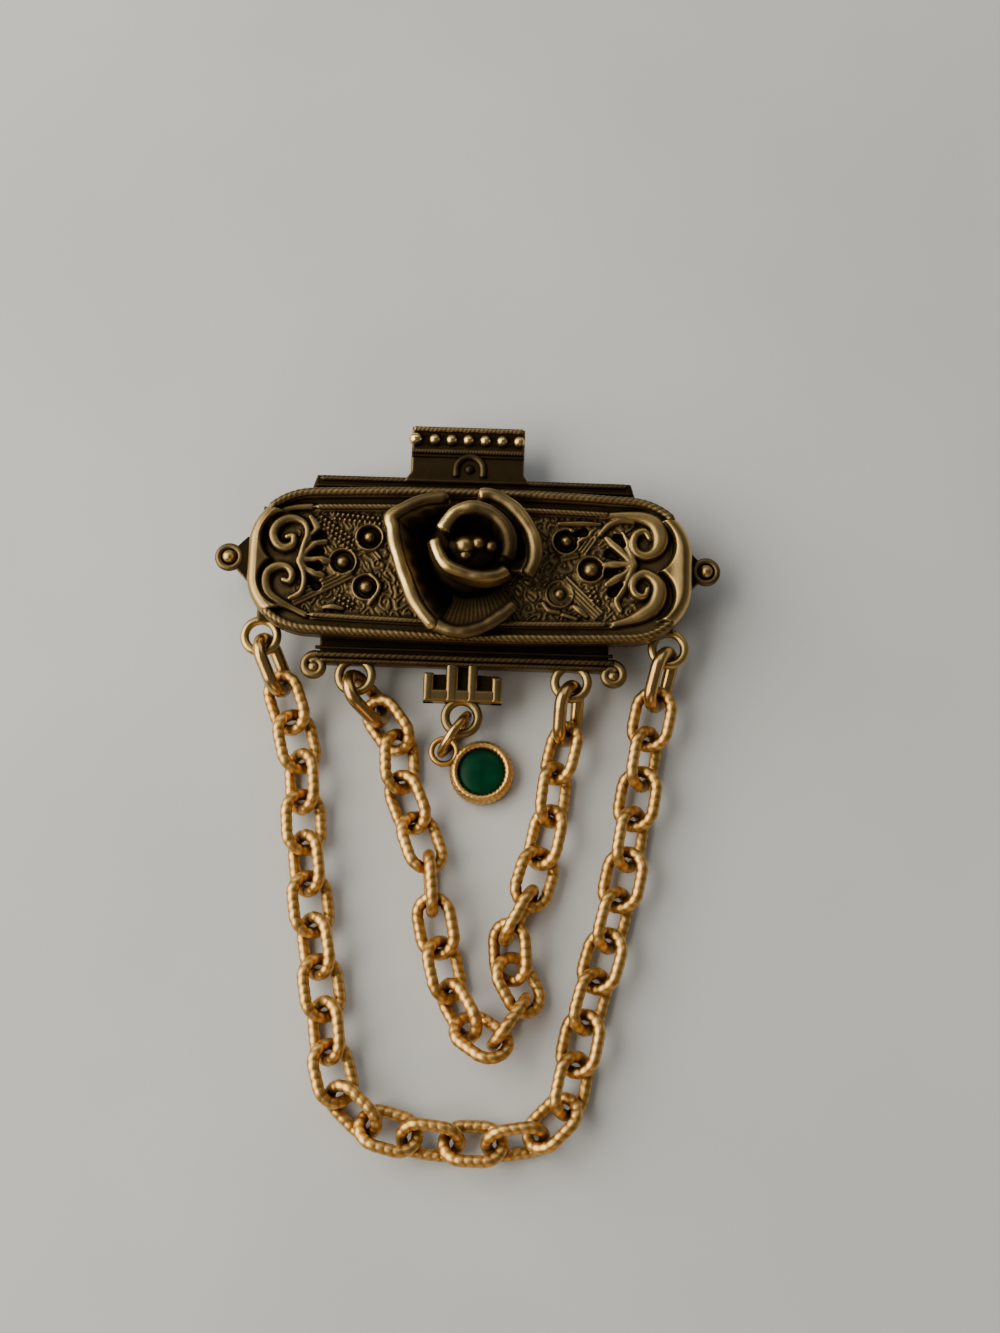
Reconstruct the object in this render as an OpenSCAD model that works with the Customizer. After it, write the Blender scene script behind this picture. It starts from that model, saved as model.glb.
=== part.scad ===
// Bar brooch with a rose, two festoons of cable chain and a small stone drop.
// It lies on its pin back, with the chains laid out on the table below it.
// X runs along the bar, Y towards the crest, Z up from the table.

/* [Bar] */
// Length of the front panel
panel_l = 44.2; // [43:0.1:45]
// Height of the front panel
panel_w = 15.5; // [15:0.1:16]
// Corner radius of the front panel
panel_r = 6; // [5.5:0.1:6.5]
// Height of the pin back, from the table to the back plate
pin_h = 3; // [2.6:0.1:3.4]
// Thickness of the back plate
plate_t = 1.2; // [1:0.1:1.5]
// Thickness of the front panel under its relief
panel_t = 1.4; // [1.2:0.1:1.6]
// Clearance between two pieces that are riveted together
seat_gap = 0.05; // [0.02:0.01:0.1]

/* [Back plate] */
// Half length of the ledge above the panel
ledge_x = 15.9; // [15:0.1:17]
// Top edge of the ledge
ledge_y = 9.6; // [9.3:0.1:10]
// Half length of the strip below the panel
strip_x = 14.2; // [13.6:0.1:14.8]
// Lower edge of the strip
strip_y = -10; // [-10.2:0.1:-9.8]
// Diameter of the plain rope edges
rope_d = 0.7; // [0.5:0.1:0.9]

/* [Crest] */
// Half width of the crest at its top
crest_x = 5.7; // [5.5:0.1:6]
// Top of the crest
crest_y = 14.8; // [14.4:0.1:15.2]
// Number of beads across the crest
crest_beads = 7; // [5:1:7]
// Distance between two beads
bead_pitch = 1.68; // [1.6:0.02:1.72]
// Diameter of a bead
bead_d = 1; // [0.8:0.1:1.2]

/* [Greek key] */
// Half width of the key
key_x = 3.6; // [3.4:0.1:3.8]
// Lower edge of the key
key_y = -13.4; // [-13.6:0.1:-13.2]
// Width of its strokes
key_stroke = 0.95; // [0.8:0.05:1.05]

/* [Cast loops] */
// Outer diameter of a loop
loop_d = 4.1; // [4:0.1:4.2]
// Diameter of its wire
loop_wire = 0.9; // [0.8:0.1:1]
// Outer pair, distance from the middle
outer_loop_x = 20.1; // [19.9:0.1:20.3]
// Outer pair, distance below the middle
outer_loop_y = -7.3; // [-7.5:0.1:-7.1]
// Inner pair, distance from the middle
inner_loop_x = 10.6; // [10.4:0.1:10.8]
// Inner pair, distance below the middle
inner_loop_y = -11; // [-11.2:0.1:-10.8]
// Loop under the key, distance below the middle
key_loop_y = -14.8; // [-15:0.1:-14.7]

/* [Panel relief] */
// Distance of the scroll pair from the middle
scroll_x = 17.5; // [17.3:0.1:17.7]
// Distance of a scroll above or below the middle line
scroll_y = 2.1; // [2:0.05:2.2]
// Outer radius of a scroll
scroll_r = 1.95; // [1.8:0.05:2.05]
// Width of a scroll's stroke
scroll_stroke = 0.75; // [0.6:0.05:0.85]
// Height of the scrolls over the field
relief_h = 0.8; // [0.6:0.1:1]
// Root of the palmette, distance from the middle
palmette_x = 16.1; // [16:0.1:16.3]
// Length of the palmette
palmette_l = 2.8; // [2.6:0.1:3]
// Diameter of a boss
boss_d = 1.1; // [1:0.1:1.2]
// Diameter of the ring round a boss
boss_ring_d = 3; // [2.8:0.1:3.2]

/* [Rose] */
// Height of the outer petals over the table
rose_h = 9.6; // [9:0.1:10]
// Height of the heart over the table
heart_h = 10.4; // [10:0.1:11]
// Thickness of a petal at its rolled edge
petal_t = 0.8; // [0.7:0.05:0.9]

/* [Chain] */
// Outer length of a link
link_l = 6.6; // [6.5:0.05:6.7]
// Outer width of a link
link_w = 4.7; // [4.6:0.1:4.8]
// Diameter of the wire
link_wire = 1.1; // [1:0.05:1.1]
// Number of links in the outer chain with its two plain end links
outer_links = 28; // [28:1:28]
// Number of links in the inner chain with its two plain end links
inner_links = 19; // [19:1:19]

/* [Drop] */
// Outer diameter of the bezel
bezel_d = 6.4; // [6.2:0.1:6.6]
// Thickness of the bezel
bezel_t = 2; // [1.8:0.1:2.2]
// Diameter of the stone
stone_d = 4.7; // [4.5:0.1:4.9]
// Outer diameter of the jump ring
ring_d = 5.4; // [5.2:0.1:5.6]
// Diameter of the jump ring's wire
ring_wire = 0.85; // [0.8:0.05:0.9]

/* [Pin back] */
// Distance of the hinge block and the catch from the middle
pin_x = 17; // [16:0.5:18]
// Distance of the pin above the middle line
pin_y = 2.5; // [2:0.5:3]
// Diameter of the pin stem
stem_d = 1; // [0.9:0.1:1.1]

/* [Hidden] */
$fn = 32;

// The part's origin is under the middle of its bounding box
middle = [0, 21.11, 0];
old_brass = "#5b4c2b";
bright_brass = "#d3a255";
green_stone = "#0d4a36";

plate_z = pin_h;
plate_top = plate_z + plate_t;
panel_z = plate_top + seat_gap;
field_z = panel_z + panel_t;
loop_z = plate_z + plate_t / 2;
loop_r = (loop_d - loop_wire) / 2;

// Rounded rectangle, with a short fan of points round each corner
corner_steps = 8;
module rounded(l, w, r) {
    polygon([for (q = [[1, 1], [-1, 1], [-1, -1], [1, -1]], i = [0 : corner_steps])
        let (a = atan2(q[1], q[0]) - 45 + 90 * i / corner_steps)
        [q[0] * (l / 2 - r) + r * cos(a), q[1] * (w / 2 - r) + r * sin(a)]]);
}

// Flat-topped ring that follows the panel's edge, from one inset to another
module border(from_edge, to_edge, h) {
    linear_extrude(h) difference() {
        rounded(panel_l - 2 * from_edge, panel_w - 2 * from_edge, panel_r - from_edge);
        rounded(panel_l - 2 * to_edge, panel_w - 2 * to_edge, panel_r - to_edge);
    }
}

// Arc of round wire in the XY plane
module wire_arc(r, wire, angle = 360) {
    rotate_extrude(angle = angle) translate([r, 0]) circle(d = wire);
}

// Straight rod along X, centred
module rod(l, d) {
    translate([-l / 2, 0, 0]) rotate([0, 90, 0]) cylinder(h = l, d = d);
}

// Copies its children to the left and the right half
module both_sides() {
    children();
    mirror([1, 0, 0]) children();
}

// Back plate with its ledge, strip, crest, key, finials and loops, cast in one
bar_x = 20.6;
bar_y = 6;
module plate_blank() {
    translate([0, 0, plate_z]) linear_extrude(plate_t) {
        polygon([[-ledge_x, ledge_y], [ledge_x, ledge_y], [ledge_x + 1.4, bar_y - 1],
            [-ledge_x - 1.4, bar_y - 1]]);
        square([2 * bar_x, 2 * bar_y], center = true);
        translate([-strip_x, strip_y]) square([2 * strip_x, -strip_y]);
    }
}

// Each edge has a rope and, beside it, a thin plain line
line_d = 0.4;
module edge_ropes() {
    translate([0, ledge_y - rope_d / 2, plate_top]) rod(2 * ledge_x - rope_d, rope_d);
    translate([0, ledge_y - 1.1, plate_top]) rod(2 * ledge_x + line_d, line_d);
    translate([0, strip_y + 1, plate_top]) rod(2 * strip_x, rope_d);
    translate([0, strip_y + 0.25, plate_top]) rod(2 * strip_x, line_d);
}

// Volute that ends the strip: a curl of wire that closes on a boss
volute_r = 1.05;
volute_wire = 0.8;
module volute() {
    translate([strip_x, strip_y - 0.5, plate_top - 0.3]) {
        rotate(-150) wire_arc(volute_r, volute_wire, 240);
        rotate(-150) translate([volute_r, 0, 0]) sphere(d = boss_d);
    }
}

crest_foot_y = ledge_y - 0.6;
crest_z = plate_top + 0.5;
crest_flare = 0.6;
bead_y = crest_y - 1.4;
ridge_y = crest_y - 2.65;
ridge_d = 0.6;
arch_r = 1.25;
arch_y = 10.3;
arch_wire = 0.7;
arch_leg = 0.9;
module crest() {
    translate([0, 0, plate_z]) linear_extrude(crest_z - plate_z)
        polygon([[-crest_x - crest_flare, crest_foot_y], [-crest_x, crest_foot_y + 2 * crest_flare],
            [-crest_x, crest_y], [crest_x, crest_y], [crest_x, crest_foot_y + 2 * crest_flare],
            [crest_x + crest_flare, crest_foot_y]]);
    translate([0, crest_y - rope_d / 2, crest_z]) rod(2 * crest_x - 0.1, rope_d);
    for (i = [0 : crest_beads - 1])
        translate([(i - (crest_beads - 1) / 2) * bead_pitch, bead_y, crest_z]) sphere(d = bead_d);
    translate([0, ridge_y, crest_z]) rod(2 * crest_x - 0.1, ridge_d);
    translate([0, ridge_y - 0.55, crest_z]) rod(2 * crest_x - 0.1, line_d);
    translate([0, arch_y, crest_z]) {
        wire_arc(arch_r, arch_wire, 180);
        for (x = [-arch_r, arch_r]) translate([x, -arch_leg / 2 + 0.1, 0]) rotate([90, 0, 0])
            cylinder(h = arch_leg, d = arch_wire - 0.04, center = true);
        sphere(d = boss_d);
    }
}

// Greek key: two hooks that turn outwards, on a bar across their feet
key_z = plate_z + 0.15;
key_t = plate_t - 0.05;
key_slot = 0.9;
key_hook = 2.5;
module greek_key() {
    translate([0, 0, key_z]) linear_extrude(key_t) {
        translate([-key_x, key_y]) square([2 * key_x, key_stroke / 2]);
        for (s = [0, 1]) mirror([s, 0]) {
            translate([key_slot / 2, key_y]) square([key_stroke, strip_y + 0.5 - key_y]);
            translate([key_slot / 2, key_y]) square([key_x - key_slot / 2, key_stroke]);
            translate([key_x - key_stroke, key_y]) square([key_stroke, key_hook]);
        }
    }
}

// Finial: a bracket that narrows to a cup with a boss in it
finial_x = 23.7;
finial_y = 0.6;
finial_r = 1.15;
finial_foot = 2.2;
finial_neck = 0.8;
cup_h = 0.9;
cup_wire = 0.7;
cup_boss_d = 1.4;
module finial() {
    translate([0, finial_y, plate_z + 0.1]) {
        linear_extrude(plate_t - 0.1)
            polygon([[bar_x - 0.5, -finial_foot], [bar_x + 0.4, -finial_foot], [finial_x, -finial_neck],
                [finial_x, finial_neck], [bar_x + 0.4, finial_foot], [bar_x - 0.5, finial_foot]]);
        translate([finial_x, 0, 0]) {
            cylinder(h = cup_h, r = finial_r);
            translate([0, 0, cup_h]) wire_arc(finial_r, cup_wire);
            translate([0, 0, cup_h + 0.2]) sphere(d = cup_boss_d);
        }
    }
}

module cast_loop(x, y) {
    translate([x, y, loop_z]) wire_arc(loop_r, loop_wire);
}

module back_plate() {
    color(old_brass) translate(middle) {
        plate_blank();
        edge_ropes();
        crest();
        greek_key();
        both_sides() {
            volute();
            finial();
            cast_loop(outer_loop_x, outer_loop_y);
            cast_loop(inner_loop_x, inner_loop_y);
        }
        cast_loop(0, key_loop_y);
    }
}

// Front panel, a cartouche with rope borders, end rims, scrolls, palmettes and bosses
rope_h = 0.9;
inner_rope_h = 0.55;
rim_h = 1.15;
rim_x = 15.6;
field_inset = 2;
module end_rim() {
    difference() {
        linear_extrude(rim_h) rounded(panel_l, panel_w, panel_r);
        translate([-panel_l, -panel_w, -1]) cube([panel_l + rim_x, 2 * panel_w, 4]);
        translate([0, field_inset - panel_w / 2, -1]) cube([scroll_x, panel_w - 2 * field_inset, 4]);
        for (y = [-1, 1]) translate([scroll_x, y * scroll_y, -1]) cylinder(h = 4, r = scroll_r + 0.5);
    }
}

// Stroke of a scroll, a band that leaves the palmette's root and winds in to its eye
root_angle = -56;
root_run = 0.5;
scroll_turns = 1.5;
scroll_steps = 26;
function spiral(t, side) = let (
    a = root_angle + 360 * scroll_turns * t,
    run_in = root_run * pow(max(0, 1 - 7 * t), 2),
    r = (scroll_r - scroll_stroke / 2) * (1 - 0.68 * t) + run_in + side * scroll_stroke / 2 * (1 - 0.35 * t)
) [r * cos(a), r * sin(a)];
module scroll() {
    translate([scroll_x, scroll_y, 0]) mirror([1, 0, 0]) {
        linear_extrude(relief_h) polygon([for (i = [0 : scroll_steps]) spiral(i / scroll_steps, 1),
            for (i = [scroll_steps : -1 : 0]) spiral(i / scroll_steps, -1)]);
        translate([0.25, -0.1, 0.25]) cylinder(h = relief_h - 0.25, d = 0.85);
    }
}

// Palmette: four spokes that fan out from the root to a curved edge
spoke_angles = [-66, -23, 23, 66];
palmette_root_r = 0.8;
module palmette() {
    translate([palmette_x, 0, 0]) mirror([1, 0, 0]) linear_extrude(relief_h - 0.1) {
        circle(palmette_root_r);
        for (a = spoke_angles) rotate(a) translate([0, -0.28]) square([palmette_l - 0.2, 0.56]);
        difference() {
            intersection() {
                circle(palmette_l);
                translate([palmette_l * 0.28, -palmette_l]) square([palmette_l, 2 * palmette_l]);
            }
            circle(palmette_l - 0.6);
        }
    }
}

module boss(x, y) {
    translate([x, y, 0]) {
        difference() {
            cylinder(h = 0.5, d = boss_ring_d);
            translate([0, 0, -0.1]) cylinder(h = 0.7, d = boss_ring_d - 1);
        }
        translate([0, 0, 0.3]) sphere(d = boss_d);
    }
}

// Band of the diamond round the middle boss, a strip with two raised edges
boss_x = 12.1;
diamond_x = 3.1;
diamond_y = 4.6;
module band(s) {
    from = [boss_x - diamond_x, 0];
    to = [boss_x + 0.9, s * diamond_y];
    turn = atan2(to[1] - from[1], to[0] - from[0]);
    translate([from[0], from[1], 0]) rotate(turn) for (side = [-0.42, 0, 0.42])
        translate([0.6, side - 0.11, 0]) cube([norm(to - from) - 0.6, 0.22, 0.35]);
}

module front_panel() {
    color(old_brass) translate(middle) {
        translate([0, 0, panel_z]) linear_extrude(panel_t) rounded(panel_l, panel_w, panel_r);
        translate([0, 0, field_z - 0.05]) {
            border(0, 0.85, rope_h);
            difference() {
                border(1.35, 1.95, inner_rope_h);
                for (s = [-1, 1]) translate([s * (rim_x + 10) - 10, -10, -1]) cube([20, 20, 4]);
            }
            both_sides() {
                end_rim();
                palmette();
                for (s = [0, 1]) mirror([0, s, 0]) scroll();
                boss(boss_x, 0);
                boss(9.6, 2.5);
                boss(9.6, -2.5);
                for (s = [-1, 1]) band(s);
            }
        }
    }
}

// Rose. A petal is a curved wall between a foot line and a rolled edge line.
// Columns of an edge: x, y, depth below the top of its petals
rose_base_z = field_z + seat_gap;
rose_base_h = 1.35;
rose_base_r = 4.4;
left_edge = [[-1.9, 6.2, 0.7], [-4.3, 5.7, 0.5], [-6, 4.8, 0.2], [-7.5, 3.7, 0], [-7, 1.3, 0.1],
    [-6.2, -1.2, 0.3], [-5.7, -2.4, 0.6], [-5, -4.1, 0.6], [-4, -5.6, 0.6], [-2.7, -7, 0.9]];
bottom_edge = [[-2.9, -6.4, 1.4], [-1.4, -7.2, 1.2], [0.2, -7.3, 1.2], [1.8, -6.7, 1.3],
    [3.3, -5.7, 1.4], [4.9, -4.1, 1.7]];
right_edge = [[0.9, 6.3, 0.4], [2.2, 6.5, 0.4], [3.5, 5.9, 0.3], [4.8, 4.8, 0.2], [6, 3.1, 0.2],
    [6.7, 1.5, 0.3], [6.7, 0, 0.6], [5.9, -1.6, 1]];
heart_upper_edge = [[-2.5, 2.2, 0.3], [-1.9, 3.3, 0.2], [-1, 4.4, 0.1], [0.5, 4.9, 0], [2.2, 4.5, 0.1],
    [3.6, 3.3, 0.2], [4.3, 2, 0.3], [4.3, 0.7, 0.4], [3.9, -0.3, 0.6]];
heart_lower_edge = [[-3.2, 1.6, 0.5], [-2.8, 0.2, 0.4], [-1.8, -1.2, 0.4], [0, -2, 0.5],
    [1.8, -2.3, 0.5], [3.2, -2, 0.6], [4.1, -1.4, 0.7]];
rose_middle = [0.5, 1.2];
// How far the foot of a petal is drawn in towards the rose's middle
petal_pull = 0.41;

// Point of a petal's middle surface, pulled towards the rose's middle as it goes down
function petal_point(edge, foot, top, i, v, pull) = let (
    e = edge[i],
    in = 1 - pull * pow(1 - v, 1.5),
    edge_z = top - e[2] - petal_t / 2
) [rose_middle[0] + (e[0] - rose_middle[0]) * in, rose_middle[1] + (e[1] - rose_middle[1]) * in,
    foot + (edge_z - foot) * v];

petal_rows = 4;
petal_wall = 0.6;
module petal(edge, base, top, pull) {
    foot = base + petal_wall / 2;
    for (i = [0 : len(edge) - 2], j = [0 : petal_rows - 2]) hull() {
        for (a = [i, i + 1], b = [j, j + 1])
            translate(petal_point(edge, foot, top, a, b / (petal_rows - 1), pull))
                sphere(d = b == petal_rows - 1 ? petal_t : petal_wall, $fn = 6);
    }
}

module rose_petals() {
    color(old_brass) translate(middle) {
        translate([rose_middle[0], rose_middle[1], rose_base_z]) cylinder(h = rose_base_h, r = rose_base_r);
        for (edge = [left_edge, bottom_edge, right_edge]) petal(edge, rose_base_z, rose_h, petal_pull);
    }
}

heart_z = rose_base_z + rose_base_h + seat_gap;
heart_base_r = 2.4;
// Columns of a bud's knob: x, y, diameter
knobs = [[-0.3, 1.1, 1.5], [1.2, 1.4, 1.1], [2.7, 1.3, 1]];
knob_drop = 1.4;
module rose_heart() {
    color(old_brass) translate(middle) {
        translate([rose_middle[0], rose_middle[1], heart_z]) cylinder(h = 0.8, r = heart_base_r);
        for (edge = [heart_upper_edge, heart_lower_edge]) petal(edge, heart_z, heart_h, petal_pull);
        for (knob = knobs) translate([knob[0], knob[1], 0]) hull() {
            translate([0, 0, heart_z + knob[2] / 2]) sphere(d = knob[2], $fn = 12);
            translate([0, 0, heart_h - knob_drop]) sphere(d = knob[2], $fn = 12);
        }
    }
}

// Pin back: base strip, hinge block, stem and catch in one plain piece
pin_block = 3;
base_t = 0.6;
catch_wall = 0.8;
catch_lip = 0.5;
module pin_back() {
    base_z = plate_z - seat_gap - base_t;
    base_l = 2 * pin_x + pin_block;
    color(bright_brass) translate(middle) translate([-base_l / 2, pin_y - pin_block / 2, 0]) {
        translate([0, 0, base_z]) cube([base_l, pin_block, base_t]);
        translate([base_l - pin_block, 0, 0]) cube([pin_block, pin_block, base_z + base_t / 2]);
        cube([pin_block, catch_wall, base_z + base_t / 2]);
        cube([pin_block, pin_block, catch_lip]);
        translate([base_l / 2, pin_block / 2, catch_lip + stem_d / 2]) rod(base_l - catch_wall, stem_d);
    }
}

// Drop: the jump ring stands on its edge through the key's loop and the bezel's bail
key_loop = [0, key_loop_y];
ring_middle = [-0.65, -16.35];
ring_turn = 237;
ring_z = ring_d / 2;
bail_r = 1.25;
bail_wire = 0.6;
bail_at = [-1.65, -17.85];
bail_z = 1.4;
bezel_at = [2.1, -19.75];
bezel_z = 0.05;
module drop_ring() {
    color(bright_brass) translate(middle) translate([ring_middle[0], ring_middle[1], ring_z])
        rotate([90, 0, ring_turn]) wire_arc((ring_d - ring_wire) / 2, ring_wire);
}

module drop_bezel() {
    color(bright_brass) translate(middle) {
        translate([bezel_at[0], bezel_at[1], bezel_z]) difference() {
            union() {
                cylinder(h = bezel_t - 0.3, d = bezel_d);
                translate([0, 0, bezel_t - 0.35]) wire_arc((bezel_d - 0.8) / 2, 0.7);
            }
            translate([0, 0, 0.7]) cylinder(h = bezel_t, d = stone_d + 0.2);
        }
        translate([bail_at[0], bail_at[1], bezel_z + bail_z]) wire_arc(bail_r, bail_wire);
    }
}

module drop_stone() {
    color(green_stone) translate(middle) translate([bezel_at[0], bezel_at[1], bezel_z + 0.7 + seat_gap]) {
        cylinder(h = 0.7, d = stone_d);
        translate([0, 0, 0.69]) cylinder(h = 0.35, d1 = stone_d, d2 = stone_d - 0.8, $fn = 48);
    }
}

// Chains. Columns of a route: x, y, height, turn of the chain about its own line.
// The outer links share out their route evenly; in the inner route each row is the joint of two links.
outer_route = [
    [-19.6, -8.3, 3.6, -80], [-17.7, -12.7, 2.3, -45], [-15.7, -18.9, 1.95, -30],
    [-14.9, -26.6, 1.95, -30], [-13.6, -34.7, 1.95, -30], [-12, -43, 1.95, -30],
    [-11.1, -48.4, 1.95, -30], [-9.2, -52.5, 1.95, -30], [-5, -54.2, 1.95, -30],
    [0.6, -54.93, 1.95, -35], [6, -54.8, 2, -25], [9.5, -53.7, 1.9, -40],
    [11.6, -50.6, 1.95, -35], [12.2, -45.8, 1.95, -30], [13.8, -39.5, 1.95, -30],
    [15.9, -31.1, 2, -25], [17.3, -22.7, 2.05, -25], [18.6, -14.3, 2.4, -20],
    [19.9, -8.4, 3.6, -5]
];
inner_route = [
    [-10.5, -12.2, 3.9, -62], [-8.4, -14, 1.8, -45], [-6.1, -17, 1.8, -49],
    [-5.8, -21.2, 1.9, -37], [-4.2, -25, 1.8, -51], [-2.6, -29, 2.5, -8],
    [-2.2, -32.9, 2.4, 8], [-1.3, -37, 1.9, 46], [-0.2, -41.1, 1.9, 52],
    [1.9, -44.5, 2.6, 57], [4.1, -45.9, 3.6, 73], [7.1, -41.5, 1.8, 110],
    [5.6, -39, 2, 142], [5.3, -35.4, 2.5, 152], [7.1, -32, 2.5, 203],
    [8.1, -28.3, 1.8, 211], [9, -23.8, 2, 247], [9.4, -20, 2, 215],
    [10.4, -15.5, 2.1, 245], [10.5, -12.4, 3.6, 235]
];
// Angle between a link and the next one
outer_cross = 75;
inner_cross = 85;

function row(route, i) = route[min(max(i, 0), len(route) - 1)];
// Smooth curve through the rows of a route, for u from 0 to its last row
function along(route, u) = let (
    i = max(0, min(floor(u), len(route) - 2)),
    t = u - i,
    a = row(route, i - 1),
    b = row(route, i),
    c = row(route, i + 1),
    d = row(route, i + 2)
) 0.5 * (2 * b + (c - a) * t + (2 * a - 5 * b + 4 * c - d) * t * t + (3 * b - a - 3 * c + d) * t * t * t);
function place(route, u) = let (p = along(route, u)) [p[0], p[1], p[2]];
// Where a chord of the given length, laid from u, meets the route again
function next_u(route, u, chord, low, high, left) = left == 0 ? (low + high) / 2 : let (
    mid = (low + high) / 2
) norm(place(route, mid) - place(route, u)) > chord
    ? next_u(route, u, chord, low, mid, left - 1)
    : next_u(route, u, chord, mid, high, left - 1);
function joints(route, u, chord, left) = left == 0 ? [u] :
    concat([u], joints(route, next_u(route, u, chord, u, u + 1.6, 20), chord, left - 1));
// Chord at which the given number of links just fills the route
function even_chord(route, links, low, high, left) = left == 0 ? (low + high) / 2 : let (
    mid = (low + high) / 2,
    last = joints(route, 0, mid, links)[links]
) last > len(route) - 1
    ? even_chord(route, links, low, mid, left - 1)
    : even_chord(route, links, mid, high, left - 1);

outer_joints = joints(outer_route, 0, even_chord(outer_route, outer_links, 3.6, 4.6, 16), outer_links);
inner_joints = [for (i = [0 : inner_links]) i];

link_r = (link_w - link_wire) / 2;
link_straight = link_l - link_w;
module link() {
    for (s = [0, 180]) rotate(s) {
        translate([link_straight / 2, 0, 0]) rotate(-90) wire_arc(link_r, link_wire, 180);
        translate([0, link_r, 0]) rod(link_straight, link_wire);
    }
}

// Lays a link between two joints, leaning about its own length
module laid_link(from, to, lean) {
    run = to - from;
    rise = asin(run[2] / norm(run));
    heading = atan2(run[1], run[0]);
    translate((from + to) / 2) rotate([0, -rise, heading]) rotate([lean, 0, 0]) link();
}

// Links from first to last of a chain, between the joints at u of its route, every second one crossed
module chain(route, u, cross, first, last) {
    color(bright_brass) translate(middle) for (i = [first : last]) {
        turn = along(route, (u[i] + u[i + 1]) / 2)[3];
        laid_link(place(route, u[i]), place(route, u[i + 1]), turn + (i % 2) * cross);
    }
}

module end_link_1() {
    chain(outer_route, outer_joints, outer_cross, 0, 0);
}

module end_link_2() {
    chain(inner_route, inner_joints, inner_cross, 0, 0);
}

module end_link_3() {
    chain(inner_route, inner_joints, inner_cross, inner_links - 1, inner_links - 1);
}

module end_link_4() {
    chain(outer_route, outer_joints, outer_cross, outer_links - 1, outer_links - 1);
}

module outer_chain() {
    chain(outer_route, outer_joints, outer_cross, 1, outer_links - 2);
}

module inner_chain() {
    chain(inner_route, inner_joints, inner_cross, 1, inner_links - 2);
}

back_plate();
front_panel();
rose_petals();
rose_heart();
pin_back();
drop_ring();
drop_bezel();
drop_stone();
end_link_1();
end_link_2();
end_link_3();
end_link_4();
outer_chain();
inner_chain();
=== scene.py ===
import bpy
import math
import numpy as np
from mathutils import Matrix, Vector


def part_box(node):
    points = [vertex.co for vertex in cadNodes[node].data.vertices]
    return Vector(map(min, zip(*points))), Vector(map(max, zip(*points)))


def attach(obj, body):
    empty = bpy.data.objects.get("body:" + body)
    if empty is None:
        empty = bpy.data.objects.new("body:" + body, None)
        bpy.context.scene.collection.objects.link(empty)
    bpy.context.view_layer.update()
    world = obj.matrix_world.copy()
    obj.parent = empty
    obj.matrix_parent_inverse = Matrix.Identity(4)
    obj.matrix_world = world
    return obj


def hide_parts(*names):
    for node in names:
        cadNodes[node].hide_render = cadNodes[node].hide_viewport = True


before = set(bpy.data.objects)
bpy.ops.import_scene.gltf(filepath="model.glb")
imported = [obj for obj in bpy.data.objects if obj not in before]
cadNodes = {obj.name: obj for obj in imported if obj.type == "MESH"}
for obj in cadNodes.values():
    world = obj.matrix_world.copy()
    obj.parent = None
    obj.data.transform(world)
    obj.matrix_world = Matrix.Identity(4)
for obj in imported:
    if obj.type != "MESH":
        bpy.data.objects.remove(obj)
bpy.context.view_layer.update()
barLow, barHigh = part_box("front_panel")
barMiddle = np.array([(barLow.x + barHigh.x) / 2, (barLow.y + barHigh.y) / 2, 0.0]) * 1000

# Camera: place in the frame, lens and film height in millimetres, tilt and roll in degrees
view = {"place": (4.827, -25.86, 165.64), "tilt": 13.0, "roll": 1.9, "lens": 30.46, "filmHeight": 24.0}
camera = bpy.data.objects.new("camera", bpy.data.cameras.new("camera"))
camera.data.sensor_fit = "VERTICAL"
camera.data.sensor_height = view["filmHeight"]
camera.data.lens = view["lens"]
camera.data.clip_start = 0.005
camera.location = Vector(view["place"]) / 1000
camera.rotation_euler = (math.radians(view["tilt"]), 0, math.radians(view["roll"]))
bpy.context.scene.collection.objects.link(camera)
bpy.context.scene.camera = camera
print("camera set")


# A colour "#rrggbb" as linear light: each channel c becomes c/12.92, or ((c+0.055)/1.055)^2.4 above 0.04045
def linear(code):
    channels = [int(code[k:k + 2], 16) / 255 for k in (1, 3, 5)]
    return tuple(c / 12.92 if c <= 0.04045 else ((c + 0.055) / 1.055) ** 2.4 for c in channels) + (1.0,)


# Adds one node: its settings are attributes, its inputs are values or another node's socket
def addNode(tree, kind, settings=None, inputs=None):
    made = tree.nodes.new("ShaderNode" + kind)
    for name, value in (settings or {}).items():
        setattr(made, name, value)
    for name, value in (inputs or {}).items():
        if isinstance(value, bpy.types.NodeSocket):
            tree.links.new(value, made.inputs[name])
        else:
            made.inputs[name].default_value = value
    return made


# A colour ramp through (position, "#rrggbb") stops, read at a factor
def rampOf(tree, factor, stops):
    made = addNode(tree, "ValToRGB", inputs={"Fac": factor})
    ends = made.color_ramp.elements
    while len(ends) < len(stops):
        ends.new(0.5)
    for end, (place, code) in zip(ends, stops):
        end.position = place
        end.color = linear(code)
    return made.outputs["Color"]


# Noise over the object's own coordinates, with lumps about size millimetres wide
def noise(tree, size, detail, rough=0.5):
    place = addNode(tree, "TexCoord").outputs["Object"]
    made = addNode(tree, "TexNoise", inputs={
        "Vector": place, "Scale": 1000 / size, "Detail": detail, "Roughness": rough})
    return made.outputs["Fac"]


# A material with an empty node tree
def emptyMaterial(name):
    material = bpy.data.materials.new(name)
    material.use_nodes = True
    material.node_tree.nodes.clear()
    return material, material.node_tree


# Principled shader with these inputs, joined to the material's output
def addShader(tree, inputs):
    shader = addNode(tree, "BsdfPrincipled", inputs=inputs)
    addNode(tree, "OutputMaterial", inputs={"Surface": shader.outputs["BSDF"]})


# Shared by the brasses: the two noises, and the grain's depth in millimetres
metal = {"stainDetail": 5.0, "stainRough": 0.6, "grainDetail": 3.0, "grainRough": 0.65, "grainDepth": 0.03}


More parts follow.
